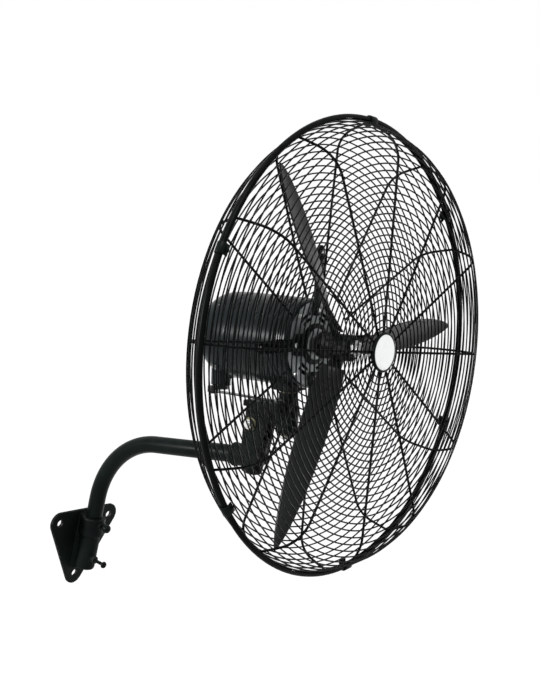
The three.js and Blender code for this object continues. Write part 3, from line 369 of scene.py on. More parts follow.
def fused(*pieces: Piece) -> Piece:
    """Fuses overlapping flat solids exactly, with their edges kept sharp.

    Args:
        pieces: the solids.

    Returns:
        The fused piece.
    """
    piece = joined(*pieces)
    with editing(piece):
        bpy.ops.mesh.separate(type="LOOSE")
    parts = [part for part in bpy.context.selected_objects if part is not piece]
    return boolean(piece, "UNION", *parts)


def eased(piece: Piece, width: float) -> Piece:
    """Rounds a piece's sharp edges.

    Args:
        piece: the piece.
        width: how far each edge is cut back.

    Returns:
        The piece.
    """
    limit = math.radians(40)
    return apply_modifier(
        piece, "BEVEL", width=width, segments=2, limit_method="ANGLE", angle_limit=limit
    )


def cast(piece: Piece, voxel: float, rounds: int) -> Piece:
    """Fuses overlapping solids into one casting, with fillets where they meet."""
    apply_modifier(piece, "REMESH", mode="VOXEL", voxel_size=voxel)
    return apply_modifier(piece, "SMOOTH", factor=0.5, iterations=rounds)


def repeated(piece: Piece, turns: Iterable[Matrix]) -> Piece:
    """Copies a piece to several places, each copy with its own mesh, and joins the copies.

    Args:
        piece: the piece that is copied; it isn't kept where it is.
        turns: one matrix for each copy.

    Returns:
        The joined copies.
    """
    copies = []
    for turn in turns:
        pick(piece)
        bpy.ops.object.duplicate(linked=False)
        copies.append(moved(bpy.context.object, turn))
    bpy.data.objects.remove(piece)
    return joined(*copies)


def bend(before: Vector, after: Vector) -> float:
    """The angle about Z from one direction to the next."""
    return math.atan2(before.cross(after).z, before.dot(after))


def polar(radius: float, angle: float) -> tuple[float, float]:
    """The x and z of a point round the fan's axis."""
    return radius * math.cos(angle), radius * math.sin(angle)


def drawn(path: Sequence[Vector], radius: float, sides: int) -> Piece:
    """A wire drawn along a path in the XY plane, extruded and turned from point to point.

    Args:
        path: the points of the wire's middle line, all with the same z.
        radius: the wire's radius.
        sides: sides of the wire's section.

    Returns:
        The closed wire.
    """
    clear_bench()
    heading = [(b - a).normalized() for a, b in zip(path, path[1:])]
    first = Vector((0, 0, 1)).rotation_difference(heading[0]).to_euler()
    bpy.ops.mesh.primitive_circle_add(
        vertices=sides, radius=radius, location=path[0], rotation=first
    )
    piece = settle()
    with editing(piece):
        for i, (a, b) in enumerate(zip(path, path[1:])):
            pull(b - a)
            if i + 1 < len(heading):
                now = heading[i]
                turn = bend(now, heading[i + 1]) + bend(heading[i - 1] if i else now, now)
                bpy.ops.transform.rotate(value=-turn / 2, orient_axis="Z", center_override=b)
    return close_up(piece)


def hexagon(corner: float, axis: Axis, low: float, length: float, at: Point) -> Piece:
    """A hexagon head with its corners turned off at both faces.

    Args:
        corner: radius to its corners.
        axis: the axis it is square to.
        low: its lowest place along that axis, from the given point.
        length: its length.
        at: the point its axis runs through.

    Returns:
        The hexagon.
    """
    base = Vector(at)
    piece = ring_of_edges(corner, axis, base + axis.value * low, 6)
    with editing(piece):
        pull(axis.value * length)
    close_up(piece)
    face = corner * math.cos(math.pi / 6) * 0.97
    high = low + length
    dome = [(face, low), (corner, low + 1.2), (corner, high - 1.2), (face, high)]
    return boolean(piece, "INTERSECT", turned(dome, axis, 72, at=at))


def section_bar(outline: Profile, half: float) -> Piece:
    """A bar of a given section in the XY plane, extruded along Z to both sides.

    Args:
        outline: the section's corners in order.
        half: half of the bar's length.

    Returns:
        The closed bar.
    """
    clear_bench()
    bpy.ops.mesh.primitive_circle_add(vertices=len(outline), radius=1, fill_type="NGON")
    piece = settle()
    for vertex, (x, y) in zip(piece.data.vertices, outline):
        vertex.co = (x, y, -half)
    with editing(piece):
        pull((0, 0, 2 * half))
        bpy.ops.mesh.select_all(action="SELECT")
        bpy.ops.mesh.normals_make_consistent(inside=False)
    return piece


# ---------- Shader maths ----------

Operand = Union["Signal", float, int, Sequence[float]]


def maths(operation: str, reflected: bool = False) -> Callable[["Signal", Operand], "Signal"]:
    """A method that takes a signal and an operand through one Math node.

    Args:
        operation: the Math node's operation.
        reflected: whether the operand comes first.

    Returns:
        The method.
    """

    def method(self: "Signal", other: Operand) -> "Signal":
        """Adds the node."""
        first, second = (other, self) if reflected else (self, other)
        return self.shader.node("ShaderNodeMath", {"operation": operation}, {0: first, 1: second})

    return method


@dataclass
class Signal:
    """A node's output socket that takes part in Python arithmetic."""

    shader: "Shader"
    socket: bpy.types.NodeSocket

    __add__ = maths("ADD")
    __radd__ = maths("ADD", reflected=True)
    __sub__ = maths("SUBTRACT")
    __rsub__ = maths("SUBTRACT", reflected=True)
    __mul__ = maths("MULTIPLY")
    __rmul__ = maths("MULTIPLY", reflected=True)
    __pow__ = maths("POWER")
    __rpow__ = maths("POWER", reflected=True)
    greater = maths("MAXIMUM")
    sine = maths("SINE")

    def wave(self) -> "Signal":
        """The sine of this signal, brought to 0 to 1."""
        return self.sine(0.0) * 0.5 + 0.5

    def ramp(self, low: float, high: float) -> "Signal":
        """0 below low, 1 above high, smooth between.

        Args:
            low: where it starts.
            high: where it ends.

        Returns:
            The ramp.
        """
        sockets = {"Value": self, "From Min": low, "From Max": high}
        settings = {"interpolation_type": "SMOOTHSTEP"}
        return self.shader.node("ShaderNodeMapRange", settings, sockets)


class Shader:
    """Adds nodes to one material or world."""

    def __init__(self, owner: bpy.types.Material | bpy.types.World) -> None:
        """Starts without a node.

        Args:
            owner: the material or world that gets the nodes.
        """
        owner.use_nodes = True
        self.tree = owner.node_tree
        self.tree.nodes.clear()

    def node(
        self,
        kind: str,
        settings: Mapping[str, Any] | None = None,
        sockets: Mapping[int | str, Operand] | None = None,
        output: int | str = 0,
    ) -> Signal:
        """Adds a node.

        Args:
            kind: the node's type.
            settings: its settings, set before its sockets.
            sockets: values or signals for its inputs.
            output: which output to return.

        Returns:
            That output.
        """
        made = self.tree.nodes.new(kind)
        for name, value in (settings or {}).items():
            setattr(made, name, value)
        for name, value in (sockets or {}).items():
            if isinstance(value, Signal):
                self.tree.links.new(value.socket, made.inputs[name])
            else:
                made.inputs[name].default_value = value
        return Signal(self, made.outputs[output])

    def place(self, output: str = "Object") -> Signal:
        """The surface's own coordinates."""
        return self.node("ShaderNodeTexCoord", output=output)

    def noise(self, place: Signal, scale: float, detail: float = 3.0, rough: float = 0.5) -> Signal:
        """Soft noise, with so many lumps in a metre."""
        sockets = {"Vector": place, "Scale": scale, "Detail": detail, "Roughness": rough}
        return self.node("ShaderNodeTexNoise", {"noise_dimensions": "3D"}, sockets)

    def blend(self, share: Operand, first: Operand, second: Operand) -> Signal:
        """Mixes two colours."""
        sockets = {0: share, 6: first, 7: second}
        return self.node("ShaderNodeMix", {"data_type": "RGBA"}, sockets, output=2)

    def seen_by(self, ray: str) -> Signal:
        """1 where a ray of this kind meets the surface, else 0."""
        return self.node("ShaderNodeLightPath", output=f"Is {ray} Ray")

    def upward(self) -> Signal:
        """How far the surface faces up, in the piece's own space."""
        normal = self.place("Normal")
        return self.node("ShaderNodeSeparateXYZ", {}, {0: normal}, output="Z")

    def from_axis(self, place: Signal) -> tuple[Signal, Signal]:
        """A place's distance along the fan's axis and out from it, in metres.

        Args:
            place: the surface's own coordinates.

        Returns:
            The distance along, and the distance out.
        """
        kind = "ShaderNodeVectorMath"
        offset = self.node(kind, {"operation": "SUBTRACT"}, {0: place, 1: FAN_CENTRE})
        along = self.node(
            kind, {"operation": "DOT_PRODUCT"}, {0: offset, 1: FAN_AXIS}, output="Value"
        )
        length = self.node(kind, {"operation": "LENGTH"}, {0: offset}, output="Value")
        return along, (length * length - along * along) ** 0.5

    def finish(
        self, inputs: Mapping[str, Operand], height: Signal, bump: float, relief: float
    ) -> None:
        """Ends the material in a principled surface.

        Args:
            inputs: values or signals for the surface's own sockets.
            height: the relief's height, 0 to 1.
            bump: strength of the relief.
            relief: the relief's depth in metres.
        """
        sockets = {"Strength": bump, "Distance": relief, "Height": height}
        normal = self.node("ShaderNodeBump", {}, sockets)
        self.end(self.node("ShaderNodeBsdfPrincipled", {}, {**inputs, "Normal": normal}))

    def end(self, surface: Signal, kind: str = "ShaderNodeOutputMaterial") -> None:
        """Links a surface to the output."""
        out = self.tree.nodes.new(kind)
        self.tree.links.new(surface.socket, out.inputs["Surface"])


# ---------- Finishes ----------


@dataclass(frozen=True)
class Finish:
    """What every finish has: a name for its material, and the name of a slot in the record, which
    nothing here reads.
    """

    name: str
    slot: str

    def material(self) -> bpy.types.Material:
        """Builds the material.

        Returns:
            The material.
        """
        made = bpy.data.materials.new(self.name)
        shader = Shader(made)
        self.fill(shader, shader.place())
        return made

    def fill(self, shader: Shader, place: Signal) -> None:
        """Adds the finish's own nodes."""
        raise NotImplementedError


@dataclass(frozen=True)
class Paint(Finish):
    """Paint or powder coat: two close colours, a fine peel, dust on top, bare metal at edges."""

    colour: Colour
    tint: Colour
    roughness: tuple[float, float]
    grain: float = 700.0
    bump: float = 0.12
    relief: float = 0.0004
    dust: float = 0.10
    wear: float = 0.0
    shine: float = 0.22
    bare: Colour = (0.22, 0.22, 0.21, 1)
    dust_colour: Colour = (0.16, 0.165, 0.16, 1)

    def fill(self, shader: Shader, place: Signal) -> None:
        """Adds the finish's own nodes.

        Args:
            shader: adds the nodes.
            place: the surface's own coordinates.
        """
        clouds = shader.noise(place, 11.0, 4.0)
        fine = shader.noise(place, self.grain, 2.0)
        peel = shader.noise(place, self.grain * 0.28, 2.0)
        colour = shader.blend(clouds.ramp(0.35, 0.65), self.colour, self.tint)
        settled = shader.upward().ramp(0.1, 1.0) * shader.noise(place, 55.0, 5.0).ramp(0.35, 0.7)
        colour = shader.blend(settled * self.dust, colour, self.dust_colour)
        low, high = self.roughness
        rough = clouds.ramp(0.3, 0.7) * (high - low) + low + settled * (0.6 * self.dust)
        inputs: dict[str, Operand] = {
            "Roughness": rough,
            "Base Color": colour,
            "Specular IOR Level": self.shine,
        }
        if self.wear:
            edge = shader.node("ShaderNodeNewGeometry", output="Pointiness")
            worn = edge.ramp(0.51, 0.57) * shader.noise(place, 130.0, 6.0).ramp(0.42, 0.62)
            inputs["Base Color"] = shader.blend(worn * self.wear, colour, self.bare)
            inputs["Metallic"] = worn * self.wear
        shader.finish(inputs, fine * 0.6 + peel * 0.6, self.bump, self.relief)


@dataclass(frozen=True)
class CastMetal(Finish):
    """Bare cast or turned metal: clouded, with a fine grain and tool marks round the axis."""

    colour: Colour
    tint: Colour
    roughness: tuple[float, float]
    grain: float = 520.0
    bump: float = 0.25
    relief: float = 0.0006
    turned_marks: float = 0.0
    stain: float = 0.35

    def fill(self, shader: Shader, place: Signal) -> None:
        """Adds the finish's own nodes.

        Args:
            shader: adds the nodes.
            place: the surface's own coordinates.
        """
        clouds = shader.noise(place, 26.0, 5.0, 0.6)
        fine = shader.noise(place, self.grain, 3.0)
        spots = shader.noise(place, 150.0, 4.0).ramp(0.55, 0.72)
        colour = shader.blend(clouds.ramp(0.3, 0.7), self.colour, self.tint)
        stained = [0.4 * part for part in self.tint[:3]] + [1]
        colour = shader.blend(spots * self.stain, colour, stained)
        low, high = self.roughness
        height = fine
        if self.turned_marks:
            _, out = shader.from_axis(place)
            height = fine * 0.5 + (out * 5200.0).wave() * self.turned_marks
        rough = clouds * (high - low) + low + spots * 0.12
        inputs = {"Base Color": colour, "Roughness": rough, "Metallic": 1.0}
        shader.finish(inputs, height, self.bump, self.relief)


@dataclass(frozen=True)
class Laminations(Finish):
    """Stacked steel sheets, seen as fine lines across the fan's axis."""

    colour: Colour = (0.32, 0.33, 0.35, 1)
    gap: Colour = (0.05, 0.05, 0.06, 1)
    sheets: float = 2000.0

    def fill(self, shader: Shader, place: Signal) -> None:
        """Adds the finish's own nodes.

        Args:
            shader: adds the nodes.
            place: the surface's own coordinates.
        """
        along, _ = shader.from_axis(place)
        line = (along * (self.sheets * math.pi)).wave()
        clouds = shader.noise(place, 40.0, 4.0)
        colour = shader.blend(line.ramp(0.1, 0.5), self.gap, self.colour)
        inputs = {"Base Color": colour, "Roughness": clouds * 0.3 + 0.3, "Metallic": 0.9}
        shader.finish(inputs, line, 0.3, 0.0003)


@dataclass(frozen=True)
class WoundWire(Finish):
    """Varnished copper wire, seen as strands round the fan's axis."""

    colour: Colour = (0.12, 0.05, 0.022, 1)
    shade: Colour = (0.04, 0.016, 0.008, 1)
    strands: float = 900.0

    def fill(self, shader: Shader, place: Signal) -> None:
        """Adds the finish's own nodes.

        Args:
            shader: adds the nodes.
            place: the surface's own coordinates.
        """
        along, out = shader.from_axis(place)
        wander = shader.noise(place, 60.0, 3.0) * 3.0
        strand = ((along + out) * (self.strands * math.pi) + wander).wave()
        colour = shader.blend(strand, self.shade, self.colour)
        inputs = {"Base Color": colour, "Roughness": strand * -0.2 + 0.5, "Metallic": 0.5}
        shader.finish(inputs, strand, 0.6, 0.0008)


@dataclass(frozen=True)
class Enamel(Finish):
    """White enamel on the badge: a faint mottle under a clear skin, dust at the edge."""

    colour: Colour = (0.82, 0.84, 0.83, 1)
    tint: Colour = (0.77, 0.80, 0.79, 1)

    def fill(self, shader: Shader, place: Signal) -> None:
        """Adds the finish's own nodes.

        Args:
            shader: adds the nodes.
            place: the surface's own coordinates.
        """
        _, out = shader.from_axis(place)
        mottle = shader.noise(place, 160.0, 4.0)
        edge = out.ramp(0.026, 0.0315) * shader.noise(place, 400.0, 3.0).ramp(0.4, 0.6)
        colour = shader.blend(mottle.ramp(0.35, 0.65), self.colour, self.tint)
        colour = shader.blend(edge * 0.25, colour, (0.35, 0.35, 0.33, 1))
        inputs = {
            "Base Color": colour,
            "Roughness": mottle * 0.1 + 0.24,
            "Coat Weight": 0.4,
            "Coat Roughness": 0.12,
        }
        shader.finish(inputs, mottle, 0.05, 0.0002)


class Look(Enum):
    """Every finish on the fan."""

    CAST_BLACK = Paint(
        "cast_black", "cast_black",
        (0.0018, 0.0027, 0.0025, 1), (0.0030, 0.0050, 0.0045, 1), (0.42, 0.58),
        grain=430.0, bump=0.5, relief=0.0007, dust=0.03, wear=0.20, shine=0.04,
    )
    COAT_BLACK = Paint(
        "coat_black", "black_coat",
        (0.0018, 0.0030, 0.0027, 1), (0.0030, 0.0056, 0.0050, 1), (0.30, 0.42),
        dust=0.02, shine=0.045,
    )
    WIRE_BLACK = Paint(
        "wire_black", "guard_wire",
        (0.0011, 0.0015, 0.0014, 1), (0.0020, 0.0028, 0.0026, 1), (0.32, 0.46),
        grain=900.0, dust=0.03, shine=0.03,
    )
    MOTOR_BLACK = Paint(
        "motor_black", "black_coat",
        (0.0018, 0.0028, 0.0030, 1), (0.0032, 0.0056, 0.0064, 1), (0.18, 0.27),
        dust=0.02, shine=0.11,
    )
    BLADE_BLACK = Paint(
        "blade_black", "blade_black",
        (0.0040, 0.0050, 0.0049, 1), (0.0066, 0.0082, 0.0080, 1), (0.26, 0.38),
        grain=620.0, dust=0.05, shine=0.16,
    )
    ALUMINIUM = CastMetal(
        "cast_aluminium", "cast_aluminium",
        (0.30, 0.32, 0.32, 1), (0.21, 0.23, 0.23, 1), (0.36, 0.55), turned_marks=0.5,
    )
    STEEL = CastMetal(
        "bright_steel", "steel",
        (0.58, 0.58, 0.57, 1), (0.44, 0.44, 0.43, 1), (0.2, 0.38), bump=0.12,
    )
    DARK_STEEL = CastMetal(
        "blackened_steel", "steel",
        (0.035, 0.036, 0.037, 1), (0.022, 0.023, 0.024, 1), (0.3, 0.5), bump=0.15,
    )
    BRASS = CastMetal(
        "dull_brass", "bronze",
        (0.12, 0.11, 0.07, 1), (0.08, 0.075, 0.05, 1), (0.35, 0.5), bump=0.15,
    )
    SHEETS = Laminations("steel_sheets", "steel")
    COPPER = WoundWire("wound_copper", "winding")
    WHITE = Enamel("badge_white", "badge_white")


class Wardrobe:
    """Makes each finish once, and hands a finished piece over to the frame."""

    def __init__(self) -> None:
        """Starts with no material made."""
        self.made: dict[Look, bpy.types.Material] = {}

    def material(self, look: Look) -> bpy.types.Material:
        """The material of a finish, made at its first use.

        Args:
            look: the finish.

        Returns:
            Its material.
        """
        if look not in self.made:
            self.made[look] = look.value.material()
        return self.made[look]

    def hand_over(
        self, piece: Piece, name: str, place: Matrix, look: Look, node: str
    ) -> Piece:
        """Finishes a piece and lets it ride on the body of a CAD node.

        Args:
            piece: the piece, in millimetres in its own frame.
            name: its name.
            place: the matrix from its frame to the wall's, in metres.
            look: its finish.
            node: the CAD node that it replaces, or shares a body with when it is an extra.

        Returns:
            The finished piece.
        """
        moved(piece, place)
        piece.name = name
        piece.data.name = name
        piece.data.materials.clear()
        piece.data.materials.append(self.material(look))
        bpy.ops.object.shade_smooth_by_angle(angle=SMOOTH_ANGLE)
        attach(piece, body_of(node))
        log.info("%s: %d faces", name, len(piece.data.polygons))
        return piece

    def replace(self, piece: Piece, node: str, place: Matrix, look: Look) -> None:
        """Hands over a piece that stands for one CAD node."""
        made = self.hand_over(piece, node + "_form", place, look, node)
        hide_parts(node)

    def dress(self, node: str, look: Look) -> None:
        """Gives a CAD node that stays its finish.

        Args:
            node: the CAD node.
            look: its finish.
        """
        shown = frame["nodes"][node]
        shown.data.materials.clear()
        shown.data.materials.append(self.material(look))
        log.info("%s: kept, %s", node, look.value.name)


def body_of(node: str) -> str:
    """The body that a CAD node belongs to.

    Args:
        node: the CAD node.

    Returns:
        The body's name.
    """
    for name, nodes in frame["record"]["behaviour"]["bodies"].items():
        if node in nodes:
            return name
    raise KeyError(node)


@dataclass
class Assembly:
    """Pieces that are built together and handed over to one wardrobe."""

    wardrobe: Wardrobe

    def mount(self, piece: Piece, node: str, look: Look) -> None:
        """Hands over a piece that was made in the wall's frame."""
        self.wardrobe.replace(piece, node, WALL_FRAME, look)

    def hang(self, piece: Piece, node: str, look: Look) -> None:
        """Hands over a piece that was made in the fan's frame."""
        self.wardrobe.replace(piece, node, FAN_FRAME, look)

    def add(self, piece: Piece, name: str, node: str, look: Look) -> None:
        """Hands over an extra of the fan, which rides with a node and replaces none."""
        self.wardrobe.hand_over(piece, name, FAN_FRAME, look, node)


# ---------- Wall bracket ----------


@dataclass
class WallBracket(Assembly):
    """The cast wall plate with its socket, and the two screws that press on the arm."""

    plate_thickness: float = 7.0
    bolt_span: float = 139.2
    upper_bolt_z: float = 50.5
    lower_bolt_z: float = -69.7
    hole_radius: float = 7.5
    corner_radius: float = 23.0
    socket_y: float = -30.0
    socket_radius: float = 20.4
    socket_bottom: float = -47.0
    bore_radius: float = 17.0
    collar_radius: float = 25.2
    collar_low: float = 27.0
    collar_high: float = 65.0
    web_width: float = 26.0
    clamp_z: float = 53.0
    steady_z: float = -22.0

    def build(self) -> None:
        """Builds the bracket and both screws."""
        self.casting()
        self.screw("clamp_screw", self.clamp_z, 4.0, 8.5, 10.0, 46.0)
        self.screw("steady_screw", self.steady_z, 3.5, 7.0, 6.5, 54.5)

    def casting(self) -> None:
        """Fuses plate, socket, collar, web and bosses, then drills and bores the casting."""
        half = self.bolt_span / 2
        corners = [(0, self.lower_bolt_z), (half, self.upper_bolt_z), (-half, self.upper_bolt_z)]
        thickness = self.plate_thickness
        flat = plate(corners, self.corner_radius, Axis.Y, -thickness + 0.3, thickness - 0.6, 64)
        y = self.socket_y
        low, neck, top = self.socket_bottom, self.collar_low, self.collar_high
        r, outer = self.socket_radius, self.collar_radius
        outline = [(r - 5, low), (r - 1.4, low + 1.2), (r, low + 5), (r, neck + 3)]
        socket = turned(outline, Axis.Z, at=(0, y, 0))
        outline = [
            (r, neck - 3), (outer - 1.6, neck), (outer, neck + 2.5), (outer, top - 2),
            (outer - 2, top),
        ]
        collar = turned(outline, Axis.Z, at=(0, y, 0))
        web = skinned(
            block((self.web_width + 8, 2, 118), (0, -thickness, 7)),
            block((self.web_width, 2, 104), (0, y + 7, 10)),
        )
        hip = skinned(
            block((30, 2, 12), (0, -thickness, low - 2)), block((28, 2, 10), (0, y - 4, low + 6))
        )
        clamp_boss = rod(9, (0, y, self.clamp_z), (0, y - outer - 3, self.clamp_z))
        steady_boss = rod(8.5, (0, y, self.steady_z), (0, y - r - 6, self.steady_z))
        body = joined(flat, socket, collar, web, hip, clamp_boss, steady_boss)
        cast(body, 1.1, 7)
        holes = [rod(self.hole_radius, (x, -20, z), (x, 5, z), 40) for x, z in corners]
        bore = rod(self.bore_radius, (0, y, low + 6), (0, y, top + 10), 64)
        threads = ((4.3, self.clamp_z), (3.8, self.steady_z))
        screws = [rod(r, (0, y, z), (0, y - 60, z)) for r, z in threads]
        cut(body, bore, *holes, *screws)
        self.mount(body, "wall_bracket", Look.CAST_BLACK)

    def screw(
        self, node: str, z: float, shank: float, head: float, length: float, reach: float
    ) -> None:
        """A press screw: threaded shank and a domed slotted head.

        Args:
            node: the CAD node it replaces.
            z: its height.
            shank: the shank's radius.
            head: the head's radius.
            length: how far the head stands out.
            reach: from the socket's axis to the head's face.
        """
        y = self.socket_y
        neck = reach - length
        tip = 17.0
        profile = [(shank * 0.5, y - tip), (shank * 0.93, y - tip - 1.2)]
        pitch = 1.25
        for i in range(int((neck - tip - 3) / pitch)):
            start = tip + 1.4 + i * pitch
            profile += [(shank * 0.86, y - start), (shank, y - start - pitch / 2)]
        top = y - reach
        profile += [
            (shank * 0.9, y - neck + 1), (head - 1.0, y - neck), (head, y - neck - 1.2),
            (head, top + 3.6), (head * 0.86, top + 1.4), (head * 0.55, top + 0.4),
            (head * 0.2, top + 0.1),
        ]
        screw = turned(profile, Axis.Y, 32, at=(0, 0, z))
        cut(screw, block((head * 2.4, 2.4, 1.8), (0, top + 0.6, z)))
        self.mount(screw, node, Look.COAT_BLACK)


# ---------- Arm ----------


@dataclass
class Arm(Assembly):
    """The bent tube and the casting on its end, with its sleeve, neck and two cheeks."""

    radius: float = 16.7
    foot_z: float = -40.7
    leg_y: float = -30.0
    bend_radius: float = 164.5
    bend_steps: int = 40
    sleeve_length: float = 36.0
    sleeve_radius: float = 21.4
    neck_radius: float = 21.0
    neck_depth: float = 30.0
    cheek_radius: float = 19.0
    cheek_inner: float = 10.8
    cheek_thickness: float = 8.0

    def build(self) -> None:
        """Builds the tube and the neck."""
        self.tube()
        self.neck()

    def tube(self) -> None:
        """Extrudes the leg, spins the bend and extrudes the run."""
        turn = math.pi / 2 - ARM_RISE
        reach = self.bend_radius * math.tan(turn / 2)
        bend_start = ARM_CORNER.z - reach
        piece = ring_of_edges(self.radius, Axis.Z, (0, self.leg_y, self.foot_z), 56)
        with editing(piece):
            pull((0, 0, bend_start - self.foot_z))
            centre = (0, self.leg_y - self.bend_radius, bend_start)
            bpy.ops.mesh.spin(steps=self.bend_steps, angle=-turn, center=centre, axis=(1, 0, 0))
            pull(RUN * (RUN_LENGTH - reach))
        close_up(piece)
        eased(piece, 0.8)
        self.mount(piece, "arm_tube", Look.COAT_BLACK)

    def neck(self) -> None:
        """Fuses sleeve, neck and cheeks, then bores the sleeve, the slot and the bolt's hole."""
        back = TUBE_END - RUN * self.sleeve_length
        sleeve = rod(self.sleeve_radius, back, TUBE_END - RUN * 0.5, 64)
        lip = rod(self.sleeve_radius + 1.4, back + RUN * 0.4, back + RUN * 5, 64)
        y = TUBE_END.y - self.neck_radius / 2
        foot = TUBE_END.z - self.neck_depth
        top = TILT.z - 23
        r = self.neck_radius
        outline = [
            (r - 6, foot + 0.4), (r - 1.6, foot + 3), (r - 0.6, foot + 8), (r, top - 6), (r, top),
        ]
        neck = turned(outline, Axis.Z, at=(0, y, 0))
        centres = [(y, TUBE_END.z), (TILT.y, TILT.z), (y, TILT.z)]
        half = self.cheek_inner + self.cheek_thickness - 0.2
        cheeks = plate(centres, self.cheek_radius, Axis.X, -half, 2 * half, 64)
        seats = rod(14.5, (-half - 0.1, TILT.y, TILT.z), (half + 0.1, TILT.y, TILT.z), 64)
        body = joined(sleeve, lip, neck, cheeks, seats)
        cast(body, 0.9, 6)
        slot = block((2 * self.cheek_inner, 120, 80), (0, TILT.y, top + 40))
        bore = rod(self.radius + FIT, back - RUN * 8, TUBE_END, 64)
        hole = rod(BOLT_HOLE, (-60, TILT.y, TILT.z), (60, TILT.y, TILT.z))
        cut(body, slot, bore, hole)
        self.mount(body, "neck_casting", Look.CAST_BLACK)


# ---------- Tilt hinge and yoke ----------


@dataclass
class Yoke(Assembly):
    """The tilt bolt, the yoke with its pivot housing, its bushes and the fixed stud."""

    plate_low: float = -129.0
    plate_high: float = -118.0
    half_width: float = 16.0
    tail: float = 86.0
    corner: float = 10.0
    lug_thickness: float = 21.0
    lug_radius: float = 21.0
    housing_radius: float = 21.0
    housing_neck: float = 17.5
    housing_bottom: float = -169.0
    housing_top: float = -94.0
    grip: float = 21.4

    def build(self) -> None:
        """Builds the bolt set, the casting, the bushes and the stud."""
        self.bolt_set()
        self.casting()
        self.bushes()
        self.stud()

    def bolt_set(self) -> None:
        """A hexagon bolt through the cheeks, a nut and two washers."""
        at = (0, TILT_Y, TILT_Z)
        head = hexagon(10.0, Axis.X, self.grip, 7.0, at)
        tail = self.grip + 11.0
        profile = [(5.0, self.grip + 1.0), (6.0, self.grip), (6.0, -self.grip + 2.0)]
        pitch = 1.5
        for i in range(int((tail - self.grip + 0.5) / pitch)):
            start = -self.grip - i * pitch
            profile += [(5.2, start), (5.9, start - pitch / 2)]
        profile += [(4.6, -tail)]
        shank = turned(profile, Axis.X, 40, at=at)
        self.hang(joined(head, shank), "tilt_bolt", Look.STEEL)
        nut = hexagon(10.0, Axis.X, -self.grip - 7.0, 7.0, at)
        cut(nut, rod(6.2, (-60, TILT_Y, TILT_Z), (0, TILT_Y, TILT_Z)))
        self.hang(nut, "tilt_nut", Look.STEEL)
        for side, node in ((-1, "tilt_washer_left"), (1, "tilt_washer_right")):
            low, high = self.grip - 2.3, self.grip - 0.3
            ring = [(6.4, low), (12.6, low), (13, low + 0.4), (13, high - 0.6), (12.4, high)]
            stations = [(r, side * s) for r, s in [*ring, (6.4, high), (6.4, low)]]
            self.hang(turned(stations, Axis.X, 56, at=at), node, Look.BRASS)

    def casting(self) -> None:
        """Fuses plate, lug, housing, rib and stud seat, then drills them."""
        tail, nose = PIVOT_Y + self.tail, PIVOT_Y - self.corner
        side = self.half_width - self.corner
        foot, top = self.plate_low, self.plate_high
        floor, thickness = foot + 0.2, top - foot - 0.4
        corners = [(-side, nose), (side, nose), (side, tail), (-side, tail)]
        strip = plate(corners, self.corner, Axis.Z, floor, thickness)
        ear = plate([(0, PIVOT_Y), (STUD_X, PIVOT_Y)], self.corner, Axis.Z, floor, thickness)
        root = foot - self.lug_radius / 2
        width = self.lug_thickness
        corners = [(TILT_Y, TILT_Z), (TILT_Y, root), (TILT_Y - 14, root)]
        lug = plate(corners, self.lug_radius, Axis.X, -width / 2 + 0.2, width - 0.4, 64)
        cut(lug, block((60, 200, 60), (0, TILT_Y, top + 29.5)))
        low, high = self.housing_bottom, self.housing_top
        r, neck = self.housing_radius, self.housing_neck
        outline = [
            (r - 2.4, low + 0.2), (r - 0.2, low + 3), (r - 0.2, top - 1), (neck, top + 3),
            (neck, high - 0.2),
        ]
        housing = turned(outline, Axis.Z, at=(0, PIVOT_Y, 0))
        rib = skinned(
            block((8, 4, 30), (0, PIVOT_Y + 18, low + 26)),
            block((8, 4, 14), (0, TILT_Y - 20, root - 4)),
        )
        rail_x = self.half_width - 2.8
        rails = [
            plate([(x, PIVOT_Y + 14), (x, tail - 2)], 2.4, Axis.Z, top - 2, 3.4, 16)
            for x in (-rail_x, rail_x)
        ]
        seat = rod(7, (STUD_X, PIVOT_Y, foot + 2), (STUD_X, PIVOT_Y, top + 7.1))
        body = joined(strip, ear, lug, housing, rib, seat, *rails)
        cast(body, 0.9, 5)
        hole = rod(BOLT_HOLE, (-40, TILT_Y, TILT_Z), (40, TILT_Y, TILT_Z))
        bore = rod(12.5, (0, PIVOT_Y, low - 5), (0, PIVOT_Y, high + 5), 64)
        pin = rod(4, (STUD_X, PIVOT_Y, -140), (STUD_X, PIVOT_Y, -100))
        cut(body, hole, bore, pin)
        self.hang(body, "tilt_yoke", Look.CAST_BLACK)

    def bushes(self) -> None:
        """The flanged bushes at both ends of the housing."""
        for up, seat, node in (
            (1, self.housing_top + FIT, "pivot_bush_upper"),
            (-1, self.housing_bottom - FIT, "pivot_bush_lower"),
        ):
            profile = [
                (9.3, seat + up * 2), (15.0, seat + up * 2), (15.5, seat + up * 1.5), (15.5, seat),
                (12.2, seat), (12.2, seat - up * 18), (9.3, seat - up * 18), (9.3, seat + up * 2),
            ]
            self.hang(turned(profile, Axis.Z, 56, at=(0, PIVOT_Y, 0)), node, Look.BRASS)

    def stud(self) -> None:
        """The fixed stud, with its domed head above the link rod's eye."""
        under = self.plate_high + 11.8
        profile = [
            (3.4, self.plate_low), (3.7, self.plate_low + 0.6), (3.7, self.plate_high + 7.5),
            (4, self.plate_high + 7.5), (4, under), (7.6, under), (8, under + 0.5),
            (8, under + 1.6), (7, under + 2.2), (3, under + 2.5),
        ]
        self.hang(turned(profile, Axis.Z, 40, at=(STUD_X, PIVOT_Y, 0)), "link_stud", Look.STEEL)


# ---------- Motor ----------


